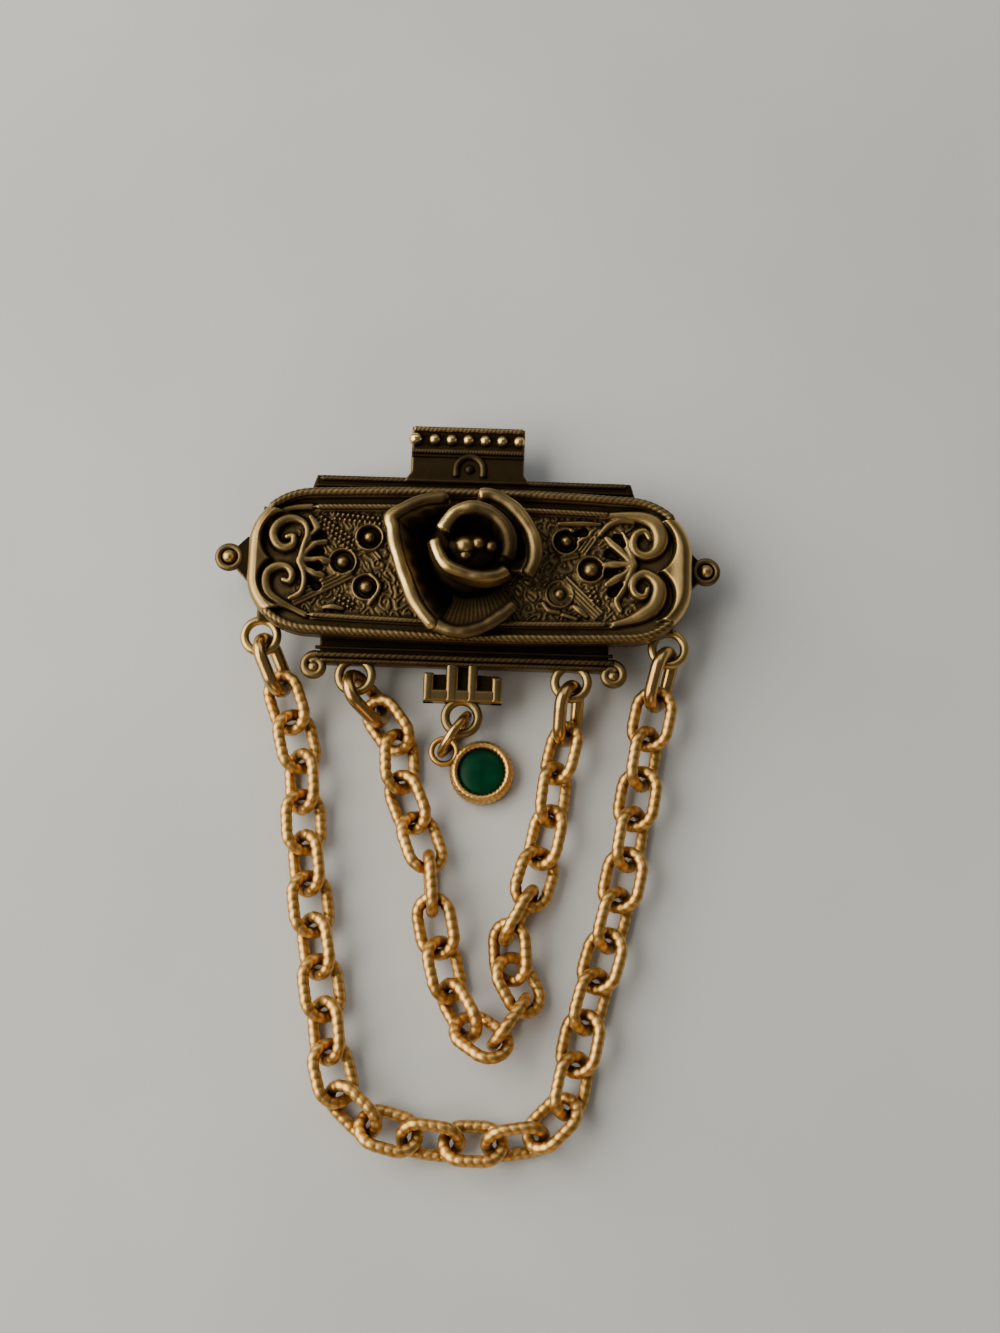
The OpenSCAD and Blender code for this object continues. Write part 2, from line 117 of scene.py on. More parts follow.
# Cast or drawn brass, always a metal. Its level of wear runs from 0 in the hollows to 1 on the rubbed ridges,
# and on some pieces painted highlights are laid into it. Its colour goes through the stops by that level,
# moved a little by a cloudy stain and darkened where the surface is closed in, which is painted shade and, on
# the cast brass, also oxide; roughness falls from the hollows to the ridges; a fine grain is the bump.
def brass(name, look):
    material, tree = emptyMaterial(name)
    stain = noise(tree, look["stainSize"], metal["stainDetail"], metal["stainRough"])
    grain = noise(tree, look["grainSize"], metal["grainDetail"], metal["grainRough"])
    wearAndPaintedLight = look["wearAndPaintedLight"]
    if wearAndPaintedLight is None:
        wearAndPaintedLight = addNode(tree, "Attribute", {"attribute_name": "wearAndPaintedLight"}).outputs["Fac"]
    cloudy = addNode(tree, "Math", {"operation": "MULTIPLY_ADD"}, {
        0: stain, 1: look["stain"], 2: -look["stain"] / 2})
    moved = addNode(tree, "Math", {"operation": "ADD", "use_clamp": True}, {0: cloudy.outputs[0], 1: wearAndPaintedLight})
    # Painted shade: ambient occlusion darkens the colour where the surface is closed in, with oxide on the
    # cast brass
    closed = addNode(tree, "AmbientOcclusion", {"samples": 8}, {"Distance": look["closeRange"] / 1000})
    paintedShadeAndOxide = addNode(tree, "MapRange", inputs={
        "Value": closed.outputs["AO"], "From Min": look["closed"], "From Max": look["open"],
        "To Min": look["hollow"], "To Max": 1.0})
    level = addNode(tree, "Math", {"operation": "MULTIPLY", "use_clamp": True}, {
        0: moved.outputs[0], 1: paintedShadeAndOxide.outputs[0]})
    colour = rampOf(tree, level.outputs[0], look["stops"])
    rough = addNode(tree, "MapRange", inputs={
        "Value": level.outputs[0], "To Min": look["roughHollow"], "To Max": look["roughRidge"]})
    bump = addNode(tree, "Bump", inputs={
        "Strength": look["grain"], "Distance": metal["grainDepth"] / 1000, "Height": grain})
    addShader(tree, {
        "Base Color": colour, "Metallic": 1.0, "Roughness": rough.outputs[0],
        "Normal": bump.outputs["Normal"]})
    return material


# Sand-cast and antiqued: dark oxide is left in the hollows, the high edges are rubbed back to pale brass
antiqueBrassLook = {
    "wearAndPaintedLight": None, "stainSize": 2.5, "stain": 0.22, "grainSize": 0.16, "grain": 0.6,
    "closeRange": 0.9, "closed": 0.15, "open": 0.8, "hollow": 0.4, "roughHollow": 0.56, "roughRidge": 0.24,
    "stops": [(0, "#0c0905"), (0.25, "#342919"), (0.5, "#715e3d"), (0.75, "#b09358"), (1, "#e8c988")]}
# Painted shade of drawn and stamped brass: how far its colour darkens where the surface is closed in
smoothPaintedShade = {"closeRange": 1.0, "closed": 0.2, "open": 0.9}
# Drawn brass wire, nicked across and gilt: bright on the lands, brown in the nicks
giltWireLook = {
    "wearAndPaintedLight": None, "stainSize": 3.5, "stain": 0.25, "grainSize": 0.22, "grain": 0.4,
    **smoothPaintedShade, "hollow": 0.34, "roughHollow": 0.5, "roughRidge": 0.38,
    "stops": [(0, "#1f1205"), (0.35, "#64431c"), (0.65, "#b0803c"), (1, "#f8ce80")]}
# Plain drawn brass, polished by wear
plainWireLook = {
    "wearAndPaintedLight": 0.76, "stainSize": 3.0, "stain": 0.3, "grainSize": 0.3, "grain": 0.15,
    **smoothPaintedShade, "hollow": 0.3, "roughHollow": 0.42, "roughRidge": 0.2,
    "stops": [(0, "#1a0f04"), (0.35, "#5e4220"), (0.7, "#a87f42"), (1, "#efcf8e")]}
# Stamped sheet brass of the pin back, satin and a little dull
sheetBrassLook = {
    "wearAndPaintedLight": 0.55, "stainSize": 4.0, "stain": 0.35, "grainSize": 0.2, "grain": 0.2,
    **smoothPaintedShade, "hollow": 0.5, "roughHollow": 0.5, "roughRidge": 0.32,
    "stops": [(0, "#2a1d0c"), (0.4, "#7a5f34"), (0.7, "#a98a50"), (1, "#d9bd84")]}
antiqueBrass = brass("antiqued cast brass", antiqueBrassLook)
giltWire = brass("gilt nicked brass wire", giltWireLook)
plainWire = brass("polished brass wire", plainWireLook)
sheetBrass = brass("satin sheet brass", sheetBrassLook)


# Opaque green glass of the cabochon
greenGlassLook = {
    "cloudSize": 1.6, "dark": "#012a17", "pale": "#033d24", "rough": 0.28, "index": 1.45, "shine": 0.08}


# Glass with a dark body, faint clouds and a soft polish
def greenGlass(look):
    material, tree = emptyMaterial("polished green glass")
    cloud = noise(tree, look["cloudSize"], 4.0)
    colour = rampOf(tree, cloud, [(0.3, look["dark"]), (0.75, look["pale"])])
    addShader(tree, {
        "Base Color": colour, "Roughness": look["rough"], "IOR": look["index"],
        "Specular IOR Level": look["shine"]})
    return material


stoneGlass = greenGlass(greenGlassLook)
print("materials made")


# 3t^2 - 2t^3 with t held between 0 and 1
def ease(t):
    t = np.clip(t, 0, 1)
    return t * t * (3 - 2 * t)


# Angles of n even steps round a circle
def circle(n):
    return np.linspace(0, 2 * np.pi, n, endpoint=False)


# Smooth curve through the rows: between rows i and i+1, the Catmull-Rom cubic of the four nearest rows
def smoothThrough(rows, count):
    rows = np.asarray(rows, float)
    last = len(rows) - 1
    u = np.linspace(0, last, count)
    i = np.minimum(np.floor(u).astype(int), last - 1)
    t = (u - i)[:, None]
    a, b, c, d = (rows[np.clip(i + k, 0, last)] for k in (-1, 0, 1, 2))
    square, cube = 2 * a - 5 * b + 4 * c - d, 3 * b - a - 3 * c + d
    return 0.5 * (2 * b + (c - a) * t + square * t ** 2 + cube * t ** 3)


# The same curve with its points an even distance apart
def evenCurve(rows, step):
    fine = smoothThrough(rows, 40 * len(rows))
    gone = np.r_[0, np.cumsum(np.linalg.norm(np.diff(fine[:, :3], axis=0), axis=1))]
    at = np.linspace(0, gone[-1], max(3, int(round(gone[-1] / step)) + 1))
    return np.stack([np.interp(at, gone, column) for column in fine.T], axis=1)


# Quads between neighbours of a rows x cols grid, wrapped round where a direction is closed
def gridQuads(rows, cols, wrapRows=False, wrapCols=False):
    i = np.arange(rows if wrapRows else rows - 1)[:, None]
    j = np.arange(cols if wrapCols else cols - 1)[None, :]
    a, b = i * cols + j, i * cols + (j + 1) % cols
    c, d = ((i + 1) % rows) * cols + (j + 1) % cols, ((i + 1) % rows) * cols + j
    return np.stack([a, b, c, d], axis=-1).reshape(-1, 4)


# One closed skin: points, quads, triangles and worn level. The sum of a.(b x c) over its faces is six
# times its volume, and where that is negative the skin is inside out and its faces are turned round.
def skin(points, quads, tris, wearAndPaintedLight):
    a = np.vstack([tris, quads[:, [0, 1, 2]], quads[:, [0, 2, 3]]])
    p = points - points.mean(axis=0)
    if np.einsum("ij,ij->i", p[a[:, 0]], np.cross(p[a[:, 1]], p[a[:, 2]])).sum() < 0:
        quads, tris = quads[:, ::-1], tris[:, ::-1]
    return points, quads, tris, np.broadcast_to(wearAndPaintedLight, len(points))


noTris = np.zeros((0, 3), int)


# Triangles that close both ends of a tube of n rings on two points, which follow the rings' points
def capTris(n, around):
    k = np.arange(around)
    beside = (k + 1) % around
    last = (n - 1) * around
    return np.vstack([np.stack([0 * k + n * around, beside, k], axis=1),
                      np.stack([k + last, beside + last, 0 * k + n * around + 1], axis=1)])


# Bar along a line: ring i is centre i + r(i, a) * (cos a * side i + sin a * up i), its ends closed on
# the centre unless the line is a loop
def bar(centre, side, up, radius, wearAndPaintedLight, closed=False):
    n, around = len(centre), radius.shape[1]
    a = circle(around)[None, :, None]
    out = np.cos(a) * side[:, None, :] + np.sin(a) * up[:, None, :]
    points = (centre[:, None, :] + radius[:, :, None] * out).reshape(-1, 3)
    wearAndPaintedLight = np.broadcast_to(wearAndPaintedLight, radius.shape).reshape(-1)
    quads = gridQuads(n, around, closed, True)
    if closed:
        return skin(points, quads, noTris, wearAndPaintedLight)
    points = np.vstack([points, centre[:1], centre[-1:]])
    return skin(points, quads, capTris(n, around), np.r_[wearAndPaintedLight, wearAndPaintedLight[0], wearAndPaintedLight[(n - 1) * around]])


# Side and up directions of a line that lies nearly flat: side is square to the line in the plan, up
# is square to both
def flatSides(centre):
    run = np.gradient(centre, axis=0)
    run /= np.linalg.norm(run, axis=1)[:, None]
    side = np.stack([-run[:, 1], run[:, 0], 0 * run[:, 0]], axis=1)
    side /= np.linalg.norm(side, axis=1)[:, None]
    return side, np.cross(run, side)


# Twisted rope: r = R (low + (1 - low) |cos(lobes/2 (a + turn s))|^0.7), which turns once in lobes x pitch.
# It is worn from groove to ridge, and thins to a quarter over the length fade at each end.
def rope(rows, size, pitch, around=12, lobes=3, low=0.86, step=0.12, fade=0.0, hand=1,
         groove=0.26, ridge=0.56):
    centre = evenCurve(rows, step)
    side, up = flatSides(centre)
    s = np.arange(len(centre)) * step
    a = circle(around)
    turn = hand * 2 * np.pi / (lobes * pitch)
    swell = np.abs(np.cos(lobes / 2 * (a + turn * s[:, None]))) ** 0.7
    thick = np.ones(len(s))
    if fade:
        thick = np.clip(ease(s / fade) * ease((s[-1] - s) / fade), 0.25, 1)
    radius = size / 2 * (low + (1 - low) * swell) * thick[:, None]
    return bar(centre, side, up, radius, groove + (ridge - groove) * swell)


# Plain round wire along a line, with the same worn level all round
def wire(rows, size, wearAndPaintedLight, around=14, step=0.15):
    centre = evenCurve(rows, step)
    side, up = flatSides(centre)
    return bar(centre, side, up, np.full((len(centre), around), size / 2), wearAndPaintedLight)


# Ring: a circle about the middle, in the plane of two directions. Its wire's radius is
# size/2 (1 - dent (1 + cos(dents t)) / 2).
def ring(middle, r, size, wearAndPaintedLight, across=(1, 0, 0), along=(0, 1, 0), steps=64, around=16, dent=0.0, dents=0):
    t = circle(steps)
    across, along = np.array(across, float), np.array(along, float)
    out = np.cos(t)[:, None] * across + np.sin(t)[:, None] * along
    centre = np.array(middle) + r * out
    radius = size / 2 * (1 - dent * (0.5 + 0.5 * np.cos(dents * t)))[:, None] * np.ones((1, around))
    return bar(centre, out, np.broadcast_to(np.cross(across, along), out.shape), radius, wearAndPaintedLight, True)


# Turned form: the profile rows [radius, height] go round the middle, and those past 0.7 of the largest
# radius are stretched by 1 + knurl cos(teeth a)
def turned(middle, profile, wearAndPaintedLight, steps=48, knurl=0.0, teeth=0):
    profile = np.asarray(profile, float)
    a = circle(steps)
    inner = profile[1:-1]
    stretch = 1 + knurl * np.cos(teeth * a) * (inner[:, :1] > 0.7 * profile[:, 0].max())
    x, y = inner[:, :1] * np.cos(a) * stretch, inner[:, :1] * np.sin(a) * stretch
    points = np.stack([x, y, np.broadcast_to(inner[:, 1:], x.shape)], axis=-1).reshape(-1, 3)
    n = len(inner)
    points = np.vstack([points, [[0, 0, profile[0, 1]], [0, 0, profile[-1, 1]]]]) + np.array(middle)
    return skin(points, gridQuads(n, steps, False, True), capTris(n, steps), wearAndPaintedLight)


# Dome: radius R cos v, height tall R sin v over a foot, for a bead or a boss
def dome(middle, size, wearAndPaintedLight, tall=1.0):
    r, high = size / 2, size / 2 * tall
    sides = [[r * np.cos(v), high * np.sin(v)] for v in np.linspace(-0.5, np.pi / 2, 9)[:-1]]
    return turned(middle, [[0, -0.5 * high]] + sides + [[0, high]], wearAndPaintedLight, 20)


# Relief: a height z over each point of an x, y grid, walls down from its border to the base, and a flat foot
def relief(x, y, z, base, wearAndPaintedLight):
    rows, cols = x.shape
    top = np.stack([x, y, z], axis=-1).reshape(-1, 3)
    k = np.arange(rows * cols).reshape(rows, cols)
    border = np.r_[k[0, :-1], k[:-1, -1], k[-1, :0:-1], k[:0:-1, 0]]
    n, m = rows * cols, len(border)
    foot = top[border].copy()
    foot[:, 2] = base
    j = np.arange(m)
    walls = np.stack([border, n + j, n + (j + 1) % m, border[(j + 1) % m]], axis=1)
    middle = np.array([[foot[:, 0].mean(), foot[:, 1].mean(), base]])
    floor = np.stack([n + j, 0 * j + n + m, n + (j + 1) % m], axis=1)
    wornAll = np.r_[np.asarray(wearAndPaintedLight).reshape(-1), np.full(m, 0.4), 0.4]
    return skin(np.vstack([top, foot, middle]), np.vstack([gridQuads(rows, cols), walls]), floor, wornAll)


# One piece from several skins, its points in metres in the frame, riding on the only body
def makePiece(name, skins, material, replaces):
    counts = np.r_[0, np.cumsum([len(s[0]) for s in skins])]
    points = (np.vstack([s[0] for s in skins]) + barMiddle) / 1000
    quads = np.vstack([s[1] + c for s, c in zip(skins, counts)])
    tris = np.vstack([s[2] + c for s, c in zip(skins, counts)])
    mesh = bpy.data.meshes.new(name)
    mesh.vertices.add(len(points))
    mesh.vertices.foreach_set("co", points.astype(np.float32).ravel())
    corners = np.r_[quads.ravel(), tris.ravel()].astype(np.int32)
    mesh.loops.add(len(corners))
    mesh.loops.foreach_set("vertex_index", corners)
    starts = np.r_[np.arange(len(quads)) * 4, len(quads) * 4 + np.arange(len(tris)) * 3].astype(np.int32)
    mesh.polygons.add(len(starts))
    mesh.polygons.foreach_set("loop_start", starts)
    mesh.update(calc_edges=True)
    mesh.validate()
    mesh.polygons.foreach_set("use_smooth", np.ones(len(mesh.polygons), bool))
    # Each point's level of wear and oxide, into which some pieces lay painted highlights and painted light
    levels = mesh.attributes.new("wearAndPaintedLight", "FLOAT", "POINT")
    levels.data.foreach_set("value", np.concatenate([s[3] for s in skins]).astype(np.float32))
    mesh.materials.append(material)
    piece = bpy.data.objects.new(name, mesh)
    bpy.context.scene.collection.objects.link(piece)
    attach(piece, "root")
    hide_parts(*replaces)
    print("made", name, len(quads) * 2 + len(tris), "triangles")


# Mean of the grid over a square window, by running sums in both directions
def blurred(grid, reach):
    window = 2 * reach + 1
    for axis in (0, 1):
        edge = [(reach + 1, reach) if k == axis else (0, 0) for k in (0, 1)]
        total = np.cumsum(np.pad(grid, edge, mode="edge"), axis=axis)
        at = np.arange(grid.shape[axis])
        grid = (np.take(total, at + window, axis=axis) - np.take(total, at, axis=axis)) / window
    return grid


# Raises a rounded stroke on the grid: H sqrt(1 - q^3), where q is the least distance to the stroke's middle
# line over its half width there. Rows are [x, y, half width, height], the half width times swell.
def raiseStroke(x, y, height, rows, swell):
    line = evenCurve(np.insert(np.asarray(rows, float), 2, 0, axis=1), 0.06) * [1, 1, 1, swell, 1]
    reach = line[:, 3].max()
    low, high = line.min(axis=0) - reach, line.max(axis=0) + reach
    near = (x > low[0]) & (x < high[0]) & (y > low[1]) & (y < high[1])
    px, py = x[near], y[near]
    best = np.full(px.shape, 9.0)
    tall = np.zeros(px.shape)
    for lx, ly, half, top in line[:, [0, 1, 3, 4]]:
        q = np.hypot(px - lx, py - ly) / half
        closer = q < best
        best[closer] = q[closer]
        tall[closer] = top
    rise = np.where(best < 1, tall * np.sqrt(np.clip(1 - best ** 3, 0, 1)), 0)
    height[near] = np.maximum(height[near], rise)


# Front panel: a cast plate with a rope border, end rims, scrolls, bosses and low foliage
panel = {
    "length": 43.7, "width": 15.6, "shift": 0.3, "bow": 0.1, "corner": 6.0, "foot": 4.25, "field": 5.5,
    "roll": 0.5, "swell": 1.3, "curl": (1.5, 0.12), "gridStep": 0.095, "evenRows": 6.8,
    "ropeInset": 0.43, "ropeSize": 0.86, "ropePitch": 0.58, "ropeZ": 6.25, "ropeBed": 0.42,
    "innerInset": 1.95, "innerSize": 0.62, "innerPitch": 0.48, "innerZ": 5.95, "innerBed": 0.22,
    "rimHeight": 1.25, "rimEnd": 5.4, "rimWidth": 2.1, "rimStart": 15.9,
    "bossHeight": 0.85, "moatR": 1.12, "collarR": 1.32, "collarHeight": 0.38, "pitDepth": 0.55,
    "lineFoot": 0.17, "lineHeight": 0.17, "beadSize": 0.5, "beadHeight": 0.42,
    # Volutes that the end rims keep clear of: x, y to both sides, reach
    "volutes": [(-17.6, 2.1, 2.45), (17.5, 2.5, 2.68)],
    # Bosses: x, y, size, depth of the moat round them
    "bosses": [(-12.2, 0, 1.35, 0.16), (-9.7, 2.6, 1.2, 0.35), (-9.8, -2.5, 1.4, 0.16),
               (12.2, 0, 1.65, 0.12), (9.7, 2.8, 1.2, 0.3), (9.2, -2.6, 1.3, -0.16)],
    # Pits between the spokes: from, to
    "pits": [(-15.1, 2.3, -14.4, 2.7), (-15.2, 0.7, -14.6, 1), (-15.2, -0.5, -14.7, -0.55),
             (-15.3, -2, -14.7, -2.5), (15.3, 2.6, 14.8, 3.3), (14.7, 1.4, 14, 1.7),
             (14.7, -0.1, 14, -0.3), (15.1, -1.5, 14.4, -2.2), (10.7, 3.6, 11.4, 3.8)],
    # Scrolls, leaves and spokes: rows of x, y, half width, height
    "strokes": [
    [[13.1, 5.5, 0.3, 0.5], [14.6, 5.6, 0.35, 0.6], [16, 5.6, 0.45, 0.7], [17.4, 5.4, 0.6, 0.8],
     [18.5, 4.8, 0.7, 0.9], [19, 3.7, 0.72, 0.9], [18.9, 2.6, 0.62, 0.9], [18.3, 1.8, 0.48, 0.85],
     [17.4, 1.5, 0.42, 0.8], [16.6, 1.9, 0.4, 0.8], [16.3, 2.8, 0.38, 0.85], [16.6, 3.7, 0.36, 0.85],
     [17.4, 4, 0.32, 0.8], [17.9, 3.3, 0.26, 0.75]],
    [[14.6, -5.5, 0.3, 0.5], [16, -5.1, 0.4, 0.6], [17.3, -4.5, 0.6, 0.8], [18.4, -3.7, 0.68, 0.9],
     [18.9, -2.6, 0.68, 0.9], [18.9, -1.5, 0.6, 0.9], [18.3, -0.7, 0.48, 0.85], [17.4, -0.3, 0.42, 0.8],
     [16.6, -0.8, 0.4, 0.8], [16.3, -1.7, 0.36, 0.85], [16.7, -2.5, 0.34, 0.8], [17.5, -2.6, 0.3, 0.8],
     [17.8, -1.9, 0.26, 0.75]],
    [[16.4, 0.6, 0.4, 0.8], [16.1, 1.7, 0.3, 0.7], [15.7, 2.7, 0.4, 0.62], [15.2, 3.7, 0.26, 0.5]],
    [[16.4, 0.6, 0.4, 0.8], [15.5, 1.5, 0.3, 0.65], [14.6, 2.4, 0.42, 0.6], [13.7, 3.2, 0.26, 0.5]],
    [[16.4, 0.6, 0.4, 0.8], [15.2, 0.6, 0.3, 0.65], [14.3, 0.5, 0.42, 0.6], [13.5, 0.5, 0.26, 0.5]],
    [[16.4, 0.5, 0.4, 0.8], [15.5, -0.4, 0.3, 0.65], [14.7, -0.9, 0.42, 0.6], [13.8, -1.5, 0.26, 0.5]],
    [[16.4, 0.5, 0.4, 0.8], [15.9, -0.9, 0.3, 0.7], [15.3, -2, 0.4, 0.62], [14.8, -3.1, 0.3, 0.5],
     [15.2, -4.1, 0.24, 0.45]],
    [[16.3, 5, 0.26, 0.55], [15, 5.1, 0.28, 0.55], [13.9, 4.6, 0.3, 0.55], [13.1, 3.7, 0.24, 0.45]],
    [[10.7, 2.6, 0.14, 0.4], [11.6, 3.3, 0.24, 0.5], [12.6, 4.2, 0.16, 0.4]],
    [[9, 4.6, 0.2, 0.4], [11.2, 4.7, 0.24, 0.45], [13.1, 4.7, 0.14, 0.35]],
    [[10.6, -3.8, 0.2, 0.4], [11.2, -4.2, 0.3, 0.5], [11.9, -4.8, 0.2, 0.4]],
    [[9.6, -4.7, 0.2, 0.4], [10.9, -5.1, 0.2, 0.4]],
    [[7.6, -3.6, 0.2, 0.4], [8.2, -4.3, 0.22, 0.45], [9.2, -4.5, 0.2, 0.4]],
    [[-16.4, -0.1, 0.35, 0.75], [-16.1, 1.5, 0.3, 0.75], [-15.8, 2.7, 0.3, 0.75], [-16.1, 3.7, 0.3, 0.72],
     [-16.9, 4.2, 0.36, 0.75], [-17.9, 4.2, 0.42, 0.8], [-18.8, 3.6, 0.45, 0.85], [-19.2, 2.6, 0.46, 0.85],
     [-18.8, 1.6, 0.44, 0.85], [-18, 1.2, 0.4, 0.8], [-17.2, 1.6, 0.34, 0.8], [-17.2, 2.4, 0.28, 0.8],
     [-17.8, 2.3, 0.26, 0.75]],
    [[-15.6, 5.6, 0.3, 0.5], [-17.2, 5.4, 0.3, 0.55], [-18.4, 5, 0.3, 0.6], [-19.3, 4.3, 0.25, 0.6],
     [-19.8, 3.4, 0.16, 0.5]],
    [[-15.6, -5.5, 0.3, 0.45], [-16.9, -4.9, 0.3, 0.5], [-18.2, -4.3, 0.4, 0.7], [-19.3, -3.5, 0.45, 0.8],
     [-19.7, -2.4, 0.45, 0.85], [-19.5, -1.3, 0.42, 0.85], [-18.6, -0.7, 0.4, 0.85],
     [-17.6, -0.8, 0.36, 0.85], [-17.1, -1.5, 0.34, 0.85], [-17.3, -2.2, 0.28, 0.8],
     [-17.9, -2.1, 0.26, 0.75]],
    [[-16.4, -0.3, 0.35, 0.75], [-16, -1.3, 0.28, 0.7], [-15.9, -2.4, 0.28, 0.7], [-16.2, -3.3, 0.28, 0.65],
     [-17.2, -3.9, 0.24, 0.55]],
    [[-16.4, 0, 0.4, 0.75], [-15.4, 0.1, 0.26, 0.65], [-14.4, 0.1, 0.42, 0.62], [-13.6, 0, 0.28, 0.5]],
    [[-16.4, -0.2, 0.4, 0.75], [-15.7, -0.9, 0.26, 0.65], [-14.9, -1.2, 0.42, 0.62],
     [-14.1, -1.5, 0.28, 0.5]],
    [[-16.3, 0.2, 0.4, 0.75], [-15.6, 1.1, 0.26, 0.65], [-14.8, 1.9, 0.4, 0.6], [-14, 2, 0.26, 0.5]],
    [[-16.2, 1.2, 0.3, 0.7], [-15.5, 2.4, 0.3, 0.62], [-14.9, 3.3, 0.4, 0.55], [-15.6, 4.5, 0.26, 0.5]],
    [[-9.4, -1.2, 0.2, 0.4], [-8.5, -2.5, 0.25, 0.5], [-9.4, -4.2, 0.2, 0.4]],
    [[-13.8, -4.7, 0.2, 0.4], [-13, -4.6, 0.3, 0.5], [-12, -4.8, 0.2, 0.4]]],
    # Bands of fine parallel lines: from, to, number, spacing
    "lines": [(9.3, -1, 13.3, -4.9, 4, 0.36), (11.2, 1.5, 13.1, 4.4, 3, 0.34),
              (-17.2, -4.2, -11.1, -0.9, 4, 0.36), (9, 0.9, 11.2, 1.5, 2, 0.34),
              (-9.3, 1.2, -8.4, 0.2, 2, 0.34)],
    # Bands of small beads: from, to, number of rows
    "beads": [(-15, 4.3, -11, 1.5, 3), (-13.4, 4.7, -8.6, 4.3, 2), (12.2, -1.9, 12.9, -3.6, 2),
              (-12.8, -3.4, -10.9, -4.6, 2), (9.9, 3.9, 13, 3.2, 1)]}


# Width of the panel at x over its width in the middle: 1 - bow (1 - cos(pi x / length))
def bowed(x):
    return 1 - panel["bow"] * (1 - np.cos(np.pi * (x - panel["shift"]) / panel["length"]))


# Distance inside the panel's outline: R minus the length by which a point passes the corner's centre
def insideOutline(x, y):
    p = panel
    r = p["corner"]
    x, y = x - p["shift"], y / bowed(x)
    qx, qy = np.abs(x) - (p["length"] / 2 - r), np.abs(y) - (p["width"] / 2 - r)
    return r - np.hypot(np.maximum(qx, 0), np.maximum(qy, 0)) - np.minimum(np.maximum(qx, qy), 0)


# Grid that fills the rounded outline: rows run along x, each from -X(y) to X(y), with
# X(y) = L/2 - R + sqrt(R^2 - (|y| - straight)^2). Rows are even up to evenRows, then close up.
def panelGrid(step):
    p = panel
    r, straight, even = p["corner"], p["width"] / 2 - p["corner"], p["evenRows"]
    turn = np.linspace(math.asin((even - straight) / r), math.pi / 2, 15)[1:]
    half = np.r_[np.arange(0, even, step), even, straight + r * np.sin(turn)]
    rows = np.r_[-half[:0:-1], half]
    past = np.clip(np.abs(rows) - straight, 0, r)
    reach = p["length"] / 2 - r + np.sqrt(np.clip(r * r - past ** 2, 0, None))
    u = np.linspace(-1, 1, int(p["length"] / step) + 1)
    x = reach[:, None] * u + p["shift"]
    return x, rows[:, None] * bowed(x)


# Coordinates along and across a band from (x0, y0) to (x1, y1), and its length
def bandAxes(x, y, x0, y0, x1, y1):
    length = math.hypot(x1 - x0, y1 - y0)
    dx, dy = (x1 - x0) / length, (y1 - y0) / length
    return (x - x0) * dx + (y - y0) * dy, -(x - x0) * dy + (y - y0) * dx, length


